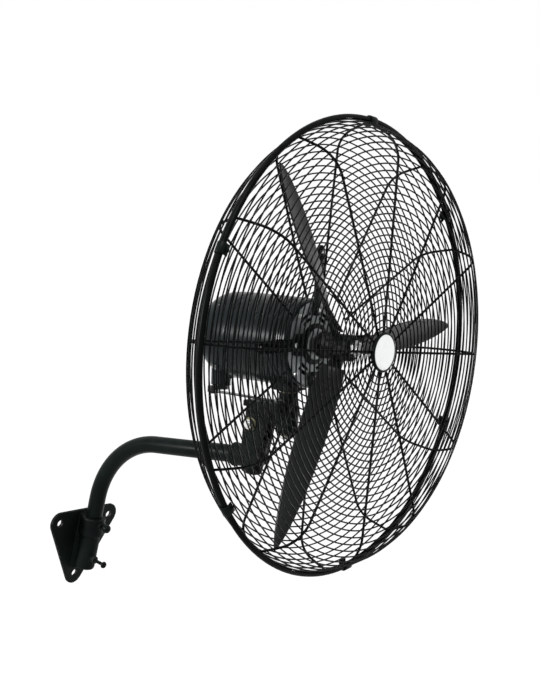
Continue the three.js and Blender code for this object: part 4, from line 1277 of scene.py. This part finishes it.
@dataclass
class Motor(Assembly):
    """The motor: foot and pin, front bell, barrel, domed cover, and what turns or sits inside."""

    front: float = 69.4
    bell_length: float = 34.0
    radius: float = 81.0
    wall: float = 3.5
    shell_length: float = 108.0
    dome_length: float = 87.0
    dome_power: float = 3.4
    boss_radius: float = 28.0
    vent_inner: float = 44.0
    vent_outer: float = 60.0
    vent_count: int = 6
    crank_y: float = 277.7
    crank_bottom: float = -106.2
    crank_top: float = -99.7
    rod_bottom: float = -110.5
    throw: float = 24.1
    face_screw_circle: float = 72.5
    cover_bolt_circle: float = 76.5
    foot_bottom: float = -91.4
    pin_bottom: float = -179.5
    collar_top: float = -171.6

    def build(self) -> None:
        """Builds the motor's shells, its foot and the linkage, and dresses its insides."""
        self.bell()
        self.barrel()
        self.cover()
        self.foot()
        self.linkage()
        self.insides()

    def bell(self) -> None:
        """The light front bell: turned, then its vents are cut through; its skirt is black."""
        front, rear = self.front, self.front + self.bell_length
        inner = self.radius - self.wall
        boss = self.boss_radius
        outline = [
            (12, front - 7), (boss - 2, front - 7), (boss, front - 5.5), (boss, front), (38, front),
            (40, front + 1.4), (66, front + 1.4), (68, front), (73, front), (76.6, front + 1.8),
            (76.6, front + 4.8), (24, front + 4.8), (24, front + 18), (20.3, front + 18),
            (20.3, front + 5.2), (12, front + 5.2), (12, front - 7),
        ]
        body = turned(outline, Axis.Y, 96)
        outline = [
            (77, front + 2.1), (80, front + 5.5), (81, front + 9.5), (81, rear - 4),
            (80.2, rear - 3.6), (80.2, rear - 0.6), (79.6, rear), (inner, rear),
            (inner, front + 8), (76.9, front + 4.8), (77, front + 2.1),
        ]
        self.add(turned(outline, Axis.Y, 112), "bell_skirt", "motor_front_bell", Look.MOTOR_BLACK)
        width = math.pi / self.vent_count
        for low, high in ((self.vent_inner, 50.5), (53.5, self.vent_outer)):
            cut(body, self.vents(low, high, width))
        self.hang(body, "motor_front_bell", Look.ALUMINIUM)
        screws = [self.face_screw(*polar(self.face_screw_circle, a), front) for a in CORNER_ANGLES]
        self.add(joined(*screws), "bell_screws", "motor_front_bell", Look.STEEL)

    def vents(self, low: float, high: float, width: float) -> Piece:
        """Cutters for one circle of arc shaped vents, each spun through its arc.

        Args:
            low: the vents' inner radius.
            high: their outer radius.
            width: the angle of each.

        Returns:
            The joined cutters.
        """
        cutters = []
        middle = (high + low) / 2
        for i in range(self.vent_count):
            start = (i - 0.25) * 2 * width
            clear_bench()
            bpy.ops.mesh.primitive_plane_add(size=1, location=(middle, self.front + 3, 0))
            piece = bpy.context.object
            piece.scale = (high - low, 16, 1)
            settle()
            with editing(piece):
                bpy.ops.mesh.spin(steps=12, angle=width, center=(0, 0, 0), axis=(0, 1, 0))
            cutters.append(moved(close_up(piece), swung(start)))
        return joined(*cutters)

    def face_screw(self, x: float, z: float, station: float) -> Piece:
        """A pan head screw on a face that looks to the front.

        Args:
            x: its place across.
            z: its height.
            station: where the face lies along the axis.

        Returns:
            The screw.
        """
        head = [(3.9, station + 3), (3.9, station - 1.6), (3.2, station - 2.5), (1.2, station - 2.9)]
        screw = turned(head, Axis.Y, 20, at=(x, 0, z))
        return cut(screw, block((9, 2.4, 1.1), (x, station - 3.0, z)))

    def barrel(self) -> None:
        """The barrel: a turned shell with a rolled seam at each end."""
        low = self.front + self.bell_length + FIT
        high = low + self.shell_length
        inner = self.radius - self.wall
        r = self.radius
        groove = r - 0.8
        profile = [
            (inner, low), (groove, low), (r, low + 0.8), (r, low + 5), (groove, low + 5.6),
            (groove, low + 6.8), (r, low + 7.4), (r, high - 7.4), (groove, high - 6.8),
            (groove, high - 5.6), (r, high - 5), (r, high - 0.8), (groove, high),
            (inner, high), (inner, low),
        ]
        self.hang(turned(profile, Axis.Y, 112), "motor_shell", Look.MOTOR_BLACK)

    def cover(self) -> None:
        """The domed rear cover with the crankcase under it, fused as one casting."""
        low = self.front + self.bell_length + self.shell_length + 2 * FIT
        stations = 22
        profile = [(self.radius - 0.6, low), (self.radius, low + 0.8)]
        for i in range(1, stations):
            share = math.sin(math.pi / 2 * i / stations) ** 0.8
            radius = self.radius * (1 - share**self.dome_power) ** (1 / self.dome_power)
            profile.append((radius, low + self.dome_length * share))
        profile.append((4.0, low + self.dome_length - 0.02))
        dome = turned(profile, Axis.Y, 96)
        foot = self.crank_top + FIT
        outline = [(17.5, foot), (19.4, foot + 1.6), (19.5, foot + 8), (20.5, -60), (21, -40)]
        barrel = turned(outline, Axis.Z, 48, at=(0, self.crank_y, 0))
        webs = skinned(
            block((9, 4, 26), (0, self.crank_y - 17, -72)),
            block((9, 4, 10), (0, self.crank_y - 42, -74)),
        )
        body = joined(dome, barrel, webs)
        cast(body, 1.5, 5)
        self.hang(body, "motor_rear_cover", Look.MOTOR_BLACK)
        corners = [polar(self.cover_bolt_circle, angle) for angle in CORNER_ANGLES]
        bolts = [rod(3.4, (x, low + 14, z), (x, low + 36, z), 24) for x, z in corners]
        self.add(joined(*bolts), "cover_bolts", "motor_rear_cover", Look.STEEL)

    def foot(self) -> None:
        """The foot that hangs the motor on the pivot, with its pin and collar."""
        bottom, tip, top = self.foot_bottom, self.pin_bottom, self.collar_top
        corners = [(x, PIVOT_Y + y) for x, y in ((-22, -14), (22, -14), (22, 14), (-22, 14))]
        pad = plate(corners, 8, Axis.Z, bottom + 3, 27, 32)
        boss = rod(21, (0, PIVOT_Y, bottom + 0.3), (0, PIVOT_Y, bottom + 9), 64)
        body = joined(pad, boss)
        cast(body, 0.9, 4)
        cut(body, rod(self.radius + FIT, (0, 40, 0), (0, 200, 0), 112))
        outline = [(8.0, tip), (9, tip + 1), (9, bottom + 2)]
        pin = turned(outline, Axis.Z, 48, at=(0, PIVOT_Y, 0))
        self.hang(joined(body, pin), "motor_foot", Look.CAST_BLACK)
        profile = [
            (9.3, top - 6), (13.6, top - 6), (15.5, top - 4.2), (15.5, top - 0.5), (15, top),
            (9.3, top), (9.3, top - 6),
        ]
        self.hang(turned(profile, Axis.Z, 56, at=(0, PIVOT_Y, 0)), "pin_collar", Look.STEEL)

    def linkage(self) -> None:
        """The crank, its pin, and the link rod with its two eyes."""
        y = self.crank_y
        web = plate([(0, y), (-self.throw, y)], 10, Axis.Z, self.crank_bottom, 6.5)
        hub = rod(15, (0, y, self.crank_bottom), (0, y, self.crank_top), 56)
        body = eased(fused(web, hub), 0.6)
        shaft = rod(6, (0, y, self.crank_top - 1), (0, y, self.crank_top + 30))
        body = joined(body, shaft)
        cut(body, rod(4.3, (-self.throw, y, -120), (-self.throw, y, -90)))
        self.hang(body, "crank", Look.DARK_STEEL)
        under, top = self.rod_bottom - FIT, self.crank_top
        outline = [
            (6.2, under - 2.5), (7, under - 1.9), (7, under), (4, under), (4, top - 0.5), (3.4, top),
        ]
        self.hang(turned(outline, Axis.Z, 40, at=(-self.throw, y, 0)), "crank_pin", Look.DARK_STEEL)
        eyes = [(-self.throw, y), (STUD_X, PIVOT_Y)]
        strip = plate(eyes, 3.5, Axis.Z, self.rod_bottom, 4, 24)
        ends = [rod(10, (x, v, self.rod_bottom), (x, v, self.rod_bottom + 4), 48) for x, v in eyes]
        link = fused(strip, *ends)
        for (x, v), r in zip(eyes, (4.3, 6.5)):
            cut(link, rod(r, (x, v, -130), (x, v, -90), 40))
        self.hang(eased(link, 0.5), "link_rod", Look.DARK_STEEL)

    def insides(self) -> None:
        """Dresses the CAD nodes inside the motor, which show only through the vents."""
        for node, look in (
            ("rear_bearing_plate", Look.ALUMINIUM), ("stator_core", Look.SHEETS),
            ("winding_front", Look.COPPER), ("winding_rear", Look.COPPER),
            ("bearing_front", Look.STEEL), ("bearing_rear", Look.STEEL),
            ("rotor_core", Look.SHEETS),
        ):
            self.wardrobe.dress(node, look)


# ---------- Guards ----------


@dataclass
class Basket(Assembly):
    """One half of the guard: rings of wire on a domed outline, crossed by ribs."""

    node: str
    front: int
    hub_radius: float
    corner_radius: float
    depth: float
    crown: float
    first_ring: float
    bend: float
    edge_radius: float = 397.15
    edge_gap: float = 2.4
    pitch: float = 12.3
    wire: float = 1.35
    rib: float = 2.25
    rib_count: int = 12
    first_rib: float = -3.27
    ring_steps: int = 120
    path: list[Vector] = field(default_factory=list)

    def build(self) -> None:
        """Builds the rings and the ribs as one welded basket."""
        self.path = self.outline()
        self.hang(joined(self.rings(), self.ribs()), self.node, Look.WIRE_BLACK)

    def outline(self) -> list[Vector]:
        """The rib's middle line from the hub over the face, round the corner to the rim.

        Returns:
            Its points, in the XY plane.
        """
        face_steps, bend_steps = 10, 14
        wall = Vector((self.edge_radius - self.corner_radius, -(self.depth - self.edge_gap), 0))
        turn = math.acos(wall.normalized().x)
        last = self.corner_radius - self.bend * math.tan(turn / 2)
        points = []
        for i in range(face_steps + 1):
            r = self.hub_radius + (last - self.hub_radius) * i / face_steps
            rise = self.crown * (1 - (r / self.corner_radius) ** 2)
            points.append(Vector((r, self.depth + rise, 0)))
        centre = Vector((last, points[-1].y - self.bend, 0))
        for i in range(1, bend_steps + 1):
            angle = turn * i / bend_steps
            offset = Vector((math.sin(angle), math.cos(angle), 0))
            points.append(centre + self.bend * offset)
        end = Vector((self.edge_radius, self.edge_gap, 0))
        start = points[-1]
        points += [start.lerp(end, share) for share in (0.5, 1.0)]
        return [Vector((p.x, self.front * p.y, 0)) for p in points]

    def along(self, distance: float) -> tuple[Vector, Vector]:
        """A point on the outline and the outward normal there, at a distance from its start.

        Args:
            distance: the distance along the outline.

        Returns:
            The point and the normal.
        """
        for a, b in zip(self.path, self.path[1:]):
            length = (b - a).length
            if distance <= length or b is self.path[-1]:
                heading = (b - a).normalized()
                normal = Vector((-heading.y, heading.x, 0)) * self.front
                return a.lerp(b, min(distance / length, 1.0)), normal
            distance -= length
        raise ValueError(distance)

    def ring_places(self) -> list[float]:
        """Distances of the rings along the outline, evenly spaced from the first to the edge.

        Returns:
            The distances, the edge wire's last.
        """
        total = sum((b - a).length for a, b in zip(self.path, self.path[1:]))
        length = total - self.first_ring
        count = round(length / self.pitch)
        return [self.first_ring + length * i / count for i in range(count + 1)]

    def rings(self) -> Piece:
        """Puts a small circle at each ring's place and spins them all at once.

        Returns:
            All rings as one piece.
        """
        distances = self.ring_places()
        sections = []
        for distance in distances:
            spot, normal = self.along(distance)
            last = distance == distances[-1]
            lift = 0.0 if last else self.wire + self.rib * 0.55
            radius = 1.6 if last else self.wire
            at = spot + normal * lift * 0.5
            sections.append(ring_of_edges(radius, Axis.Z, at, 8))
        piece = joined(*sections)
        with editing(piece):
            bpy.ops.mesh.spin(
                steps=self.ring_steps, angle=2 * math.pi, center=(0, 0, 0), axis=(0, 1, 0)
            )
        return close_up(piece, fill=False)

    def ribs(self) -> Piece:
        """Draws one rib along the outline, a little inside the rings, and copies it round.

        Returns:
            All ribs as one piece.
        """
        inset = self.rib * 0.5
        line = []
        for i, spot in enumerate(self.path):
            after = self.path[min(i + 1, len(self.path) - 1)]
            before = self.path[max(i - 1, 0)]
            heading = (after - before).normalized()
            normal = Vector((-heading.y, heading.x, 0)) * self.front
            line.append(spot - normal * inset)
        line[-1].x -= 1.0
        rib = drawn(line, self.rib, 10)
        degrees = [self.first_rib + 360 / self.rib_count * i for i in range(self.rib_count)]
        return repeated(rib, [swung(math.radians(angle)) for angle in degrees])


@dataclass
class Rim(Assembly):
    """The half round hoop over both edge wires, and the clips that grip it."""

    middle: float = 400.45
    radius: float = 5.7
    wall: float = 1.2
    clip_angles: tuple[float, ...] = (85, 155, 218, 276, 336, 37.5)
    clip_length: float = 19.0
    clip_wall: float = 2.4
    clip_leg: float = 10.0
    screw_at: float = 394.0

    def build(self) -> None:
        """Builds the hoop and its clips."""
        self.hoop()
        for number, degrees in enumerate(self.clip_angles, 1):
            self.clip(number, degrees)

    def channel(
        self, inner: float, outer: float, lip: float, at: float
    ) -> list[tuple[float, float]]:
        """The outline of a half round channel, as (radius, station) pairs.

        Args:
            inner: the inner half round's radius.
            outer: the outer half round's radius.
            lip: how far its legs reach in.
            at: the radius where the half rounds are centred.

        Returns:
            The pairs in order, the last not the first.
        """
        steps = 8
        arc = [math.pi * (i / steps - 0.5) for i in range(steps + 1)]
        out = [(at + outer * math.cos(a), outer * math.sin(a)) for a in arc]
        back = [(at + inner * math.cos(a), inner * math.sin(a)) for a in reversed(arc)]
        edge = at - lip
        return [(edge, -outer), *out, (edge, outer), (edge, inner), *back, (edge, -inner)]

    def hoop(self) -> None:
        """Turns the hoop's channel round the fan's axis."""
        profile = self.channel(self.radius - self.wall, self.radius, 1.4, self.middle)
        self.hang(turned([*profile, profile[0]], Axis.Y, 160), "rim_band", Look.WIRE_BLACK)

    def clip(self, number: int, degrees: float) -> None:
        """A clip: a bent strap over the hoop, with its screw through the legs inside it.

        Args:
            number: the clip's number, from 1.
            degrees: its angle round the hoop.
        """
        inner = self.radius + FIT
        outer = inner + self.clip_wall
        outline = self.channel(inner, outer, self.clip_leg, self.middle)
        strap = eased(section_bar(outline, self.clip_length / 2), 0.5)
        head = [(3.8, 0.3), (3.8, -1.0), (3.2, -1.8), (2.0, -2.3), (0.7, -2.5)]
        screw = turned(head, Axis.Y, 20, at=(self.screw_at, -outer, 0))
        nut = hexagon(4.6, Axis.Y, outer, 2.6, (self.screw_at, 0, 0))
        piece = moved(joined(strap, screw, nut), swung(math.radians(degrees)))
        self.hang(piece, f"guard_clip_{number}", Look.COAT_BLACK)


@dataclass
class Spider(Assembly):
    """The ring and four straps that hold the rear guard on the motor's face."""

    front: float = 65.1
    thickness: float = 4.0
    ring_radius: float = 37.0
    bore: float = 28.3
    reach: float = 166.0
    half_width: float = 11.0
    inner_end: float = 61.0
    pad_reach: float = 52.0
    pad_half: float = 20.0

    def build(self) -> None:
        """Fuses ring, pads and straps, bores the middle, and adds the straps' screws."""
        low = self.front
        outline = [(self.ring_radius, low), (self.ring_radius, low + self.thickness)]
        body = turned(outline, Axis.Y, 96)
        for centres, half in (
            ([(-self.reach, 0), (self.reach, 0)], self.half_width),
            ([(0, self.inner_end), (0, self.reach)], self.half_width),
            ([(0, -self.reach), (0, -self.inner_end)], self.half_width),
            ([(-self.pad_reach, 0), (self.pad_reach, 0)], self.pad_half),
        ):
            boolean(body, "UNION", plate(centres, half, Axis.Y, low, self.thickness, 32))
        cut(body, rod(self.bore, (0, low - 5, 0), (0, low + 10, 0), 64))
        eased(body, 0.5)
        self.hang(body, "guard_spider", Look.COAT_BLACK)
        head = [(4.4, low + 1), (4.4, low - 1.4), (3.4, low - 2.4), (1.4, low - 2.8)]
        places = [
            polar(radius, math.pi / 2 * i) for i in range(4) for radius in (self.inner_end, self.reach)
        ]
        screws = [turned(head, Axis.Y, 20, at=(x, 0, z)) for x, z in places]
        self.add(joined(*screws), "strap_screws", "guard_spider", Look.STEEL)


@dataclass
class Badge(Assembly):
    """The bare badge at the guard's centre, its holder and the clamp behind it."""

    radius: float = 35.0
    disc_radius: float = 31.0
    back: float = -77.1
    thickness: float = 4.0
    disc_thickness: float = 1.4

    def build(self) -> None:
        """Builds holder, disc and clamp."""
        front = self.back - self.thickness
        floor = front + self.disc_thickness + FIT
        r, d = self.radius, self.disc_radius + FIT
        outline = [
            (r - 0.6, self.back), (r, self.back - 0.6), (r, front + 1.2), (r - 0.4, front + 0.4),
            (r - 1.2, front), (d + 0.4, front), (d, front + 0.4), (d, floor),
        ]
        self.hang(turned(outline, Axis.Y, 96), "badge_holder", Look.COAT_BLACK)
        r = self.disc_radius
        outline = [
            (r, front + self.disc_thickness), (r, front + 0.5), (r - 0.6, front + 0.05),
            (24, front - 0.16), (14, front - 0.3), (4, front - 0.38),
        ]
        self.hang(turned(outline, Axis.Y, 96), "badge_disc", Look.WHITE)
        face = self.back + 3.6
        outline = [
            (30, face), (31, face + 0.6), (31, face + 2), (14, face + 2), (12, face + 3.2),
            (6.6, face + 3.4), (6, face + 6),
        ]
        self.hang(turned(outline, Axis.Y, 72), "badge_clamp", Look.COAT_BLACK)


# ---------- Rotor ----------


@dataclass
class Rotor(Assembly):
    """The hub with its arms, three twisted blades with their rivets, the nut and the shaft."""

    sweep: float = 375.0
    count: int = 3
    first: float = 5.0
    root: float = 40.0
    widest: float = 190.0
    chord: float = 60.0
    helix: float = 76.0
    back: float = 5.0
    middle: float = 10.0
    camber: float = 0.07
    thickness: float = 3.2
    arm_width: float = 26.0
    arm_reach: float = 104.0
    arm_thickness: float = 4.0
    hub_radius: float = 23.5
    hub_front: float = -15.0
    hub_rear: float = 56.0

    def build(self) -> None:
        """Builds hub, blades, nut and shaft."""
        self.hub()
        for number in range(self.count):
            self.blade(number)
        nut = hexagon(15.0, Axis.Y, self.hub_front - 10.3, 10.0, (0, 0, 0))
        cut(nut, rod(10.3, (0, -60, 0), (0, 60, 0)))
        self.hang(nut, "hub_nut", Look.STEEL)
        tip = self.hub_front - 14
        shaft = turned([(8.4, tip), (10, tip + 1.4), (10, 243), (9.4, 243.7)], Axis.Y, 48)
        self.hang(shaft, "motor_shaft", Look.STEEL)

    def chord_at(self, r: float) -> float:
        """The blade's width at a radius.

        Args:
            r: the radius.

        Returns:
            The width.
        """
        if r < self.widest:
            inward = (self.widest - r) / (self.widest - self.root)
            return self.chord * (1 - 0.28 * inward * inward)
        outward = (r - self.widest) / (self.sweep - self.widest)
        return self.chord * max(1 - outward * outward, 0.0) ** 0.7

    def point(self, r: float, across: float, off: float, turn: float) -> Vector:
        """A point of the blade.

        Args:
            r: radius from the shaft.
            across: place along the chord.
            off: place through the blade, from its middle layer.
            turn: the blade's own angle.

        Returns:
            The point in the fan's frame.
        """
        angle = math.atan(self.helix / r)
        chord = self.chord_at(r)
        through = self.camber * chord * (1 - (2 * across / chord) ** 2) + off
        sideways = across * math.cos(angle) + through * math.sin(angle) - self.back
        y = self.middle - across * math.sin(angle) + through * math.cos(angle)
        a = turn + sideways / r
        return Vector((r * math.cos(a), y, r * math.sin(a)))

    def turn(self, number: int) -> float:
        """A blade's angle."""
        return math.radians(self.first + 360 / self.count * number)

    def skin(
        self, radii: Sequence[float], half: Callable[[float], float], off: float, thick: float,
        turn: float, columns: int,
    ) -> Piece:
        """A sheet laid on the blade's twisted surface, then thickened to both sides.

        Args:
            radii: the sheet's stations.
            half: half its width at a radius.
            off: its place through the blade.
            thick: its thickness.
            turn: the blade's own angle.
            columns: points across it.

        Returns:
            The closed sheet.
        """
        clear_bench()
        bpy.ops.mesh.primitive_grid_add(
            x_subdivisions=columns - 1, y_subdivisions=len(radii) - 1, size=2
        )
        piece = settle()
        for vertex in piece.data.vertices:
            share = vertex.co.x
            r = radii[round((vertex.co.y + 1) / 2 * (len(radii) - 1))]
            vertex.co = self.point(r, share * half(r), off, turn)
        with editing(piece):
            bpy.ops.mesh.normals_make_consistent(inside=False)
        apply_modifier(piece, "SOLIDIFY", thickness=thick, offset=0.0, use_even_offset=True)
        return piece

    def blade(self, number: int) -> None:
        """One blade.

        Args:
            number: the blade's number, from 0.
        """
        steps = 44
        end = self.sweep - 0.5
        shares = [math.sin(math.pi / 2 * i / steps) ** 1.05 for i in range(steps + 1)]
        radii = [self.root + (end - self.root) * share for share in shares]
        turn = self.turn(number)
        piece = self.skin(radii, lambda r: self.chord_at(r) / 2, 0.0, self.thickness, turn, 15)
        eased(piece, 0.9)
        self.hang(piece, f"blade_{number + 1}", Look.BLADE_BLACK)

    def hub(self) -> None:
        """Fuses the hub with one arm behind each blade, and adds the rivets."""
        low, high, r = self.hub_front, self.hub_rear, self.hub_radius
        outline = [
            (10.3, low), (16, low), (16.8, low + 1.2), (18.2, low + 1.2), (19, low), (r - 3, low),
            (r - 0.9, low + 0.9), (r, low + 3), (r, high - 4), (r - 1.2, high - 1.2),
            (r - 4, high), (10.3, high), (10.3, low),
        ]
        barrel = turned(outline, Axis.Y, 72)
        off = self.thickness / 2 + 2 * FIT + self.arm_thickness / 2
        root, steps = 20, 20
        radii = [root + (self.arm_reach - root) * i / steps for i in range(steps + 1)]
        arms = [
            self.skin(radii, self.arm_half, off, self.arm_thickness, self.turn(i), 7)
            for i in range(self.count)
        ]
        self.hang(joined(barrel, *arms), "blade_hub", Look.CAST_BLACK)
        heads = [
            self.rivet(radius, across, number)
            for number in range(self.count)
            for radius, across in ((62, 0), (78, -7), (78, 7), (94, 0))
        ]
        self.add(joined(*heads), "blade_rivets", "blade_1", Look.BLADE_BLACK)

    def arm_half(self, r: float) -> float:
        """Half the arm's width, drawn in round its end.

        Args:
            r: the radius.

        Returns:
            Half the width.
        """
        half = self.arm_width / 2
        left = self.arm_reach + 0.1 - r
        return half if left > half else math.sqrt(max(half * half - (half - left) ** 2, 1.0))

    def rivet(self, radius: float, across: float, number: int) -> Piece:
        """A domed rivet head on the blade's front face.

        Args:
            radius: its place out from the shaft.
            across: its place along the chord.
            number: the blade's number, from 0.

        Returns:
            The head, in its place.
        """
        turn = self.turn(number)
        front = self.point(radius, across, -self.thickness / 2, turn)
        inside = self.point(radius, across, self.thickness / 2, turn)
        out = (front - inside).normalized()
        head = turned([(3.6, 0.6), (3.6, -0.2), (3.1, -1.1), (2.0, -1.8), (0.7, -2.1)], Axis.Y, 18)
        spin = Vector((0, -1, 0)).rotation_difference(out).to_matrix().to_4x4()
        return moved(head, Matrix.Translation(front) @ spin)


# ---------- Stage ----------


@dataclass
class Stage:
    """A pale floor, soft studio light and the photograph's camera."""

    floor_z: float = -0.95
    floor_size: float = 60.0
    floor_glow: float = 0.9
    floor_light: float = 1.06
    soft_light: float = 0.75
    lamps: tuple[tuple[str, Point, float, float], ...] = (
        ("key_light", (-1.7, -1.3, 3.6), 0.8, 75.0),
        ("side_light", (-3.3, 1.45, 0.9), 0.6, 170.0),
        ("fill_light", (3.2, -0.6, 0.2), 1.2, 55.0),
    )
    lamps_aim: Point = (0, -0.4, 0.45)
    camera_at: Point = (-2.0010, -1.8018, 1.0540)
    right: Point = (0.60402, -0.76928, 0.20830)
    up: Point = (0.04292, 0.29238, 0.95534)
    forward: Point = (0.79582, 0.56809, -0.20962)
    lens: float = 91.35

    def build(self) -> None:
        """Sets floor, world, lamps, camera and view."""
        self.floor()
        self.world()
        for name, at, size, power in self.lamps:
            self.lamp(name, at, size, power)
        self.camera()
        bpy.context.scene.view_settings.view_transform = "Standard"

    def floor(self) -> None:
        """A wide floor that stays white to the camera and keeps a soft shadow."""
        clear_bench()
        bpy.ops.mesh.primitive_plane_add(size=self.floor_size, location=(0, 0, self.floor_z))
        floor = bpy.context.object
        floor.name = "floor"
        pale = bpy.data.materials.new("floor_pale")
        shader = Shader(pale)
        mottle = shader.noise(shader.place(), 2.0, 3.0)
        colour = shader.blend(mottle, (0.95, 0.95, 0.95, 1), (0.93, 0.93, 0.93, 1))
        matt = shader.node("ShaderNodeBsdfDiffuse", {}, {"Color": colour})
        plain = shader.node("ShaderNodeEmission", {}, {"Strength": self.floor_light})
        share = (shader.seen_by("Camera") + shader.seen_by("Glossy")) * self.floor_glow
        shader.end(shader.node("ShaderNodeMixShader", {}, {0: share, 1: matt, 2: plain}))
        floor.data.materials.append(pale)

    def world(self) -> None:
        """White to the camera and in reflections, softer as a light."""
        world = bpy.data.worlds.new("studio")
        bpy.context.scene.world = world
        shader = Shader(world)
        seen = shader.seen_by("Camera")
        for ray in ("Glossy", "Transmission"):
            seen = seen.greater(shader.seen_by(ray))
        soft, plain = (
            shader.node("ShaderNodeBackground", {}, {"Color": (1, 1, 1, 1), "Strength": strength})
            for strength in (self.soft_light, 1.0)
        )
        mixed = shader.node("ShaderNodeMixShader", {}, {"Fac": seen, 1: soft, 2: plain})
        shader.end(mixed, "ShaderNodeOutputWorld")

    def lamp(self, name: str, at: Point, size: float, power: float) -> None:
        """A square soft light that points at the fan.

        Args:
            name: the lamp's name.
            at: its place.
            size: the length of its side.
            power: its power in watts.
        """
        clear_bench()
        bpy.ops.object.light_add(type="AREA", location=at)
        lamp = bpy.context.object
        lamp.name = name
        lamp.data.energy = power
        lamp.data.size = size
        aim = Vector(self.lamps_aim) - Vector(at)
        lamp.rotation_euler = aim.to_track_quat("-Z", "Y").to_euler()

    def camera(self) -> None:
        """The camera that was fitted to the photograph."""
        clear_bench()
        bpy.ops.object.camera_add(location=self.camera_at)
        camera = bpy.context.object
        camera.name = "photo_camera"
        turn = Matrix((self.right, self.up, -Vector(self.forward))).transposed()
        camera.rotation_euler = turn.to_euler()
        camera.data.sensor_fit = "HORIZONTAL"
        camera.data.sensor_width = 36.0
        camera.data.lens = self.lens
        camera.data.clip_end = 100.0
        bpy.context.scene.camera = camera


def corners(box: tuple[Vector, Vector]) -> list[list[float]]:
    """A box as plain lists of numbers."""
    return [list(corner) for corner in box]


def main() -> None:
    """Builds each sub-assembly in order and sets the stage."""
    logging.basicConfig(level=logging.INFO, format="%(name)s %(message)s")
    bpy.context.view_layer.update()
    wardrobe = Wardrobe()
    assemblies = [
        WallBracket(wardrobe),
        Arm(wardrobe),
        Yoke(wardrobe),
        Motor(wardrobe),
        Spider(wardrobe),
        Basket(wardrobe, "rear_guard", 1, 95.0, 371.0, 58.0, 4.8, 0.0, 44.0),
        Basket(wardrobe, "front_guard", -1, 24.0, 365.0, 71.0, 4.3, 8.0, 62.0),
        Rim(wardrobe),
        Badge(wardrobe),
        Rotor(wardrobe),
        Stage(),
    ]
    for assembly in assemblies:
        assembly.build()
        log.info("%s done", type(assembly).__name__)
    clear_bench()


if __name__ == "__main__":
    main()
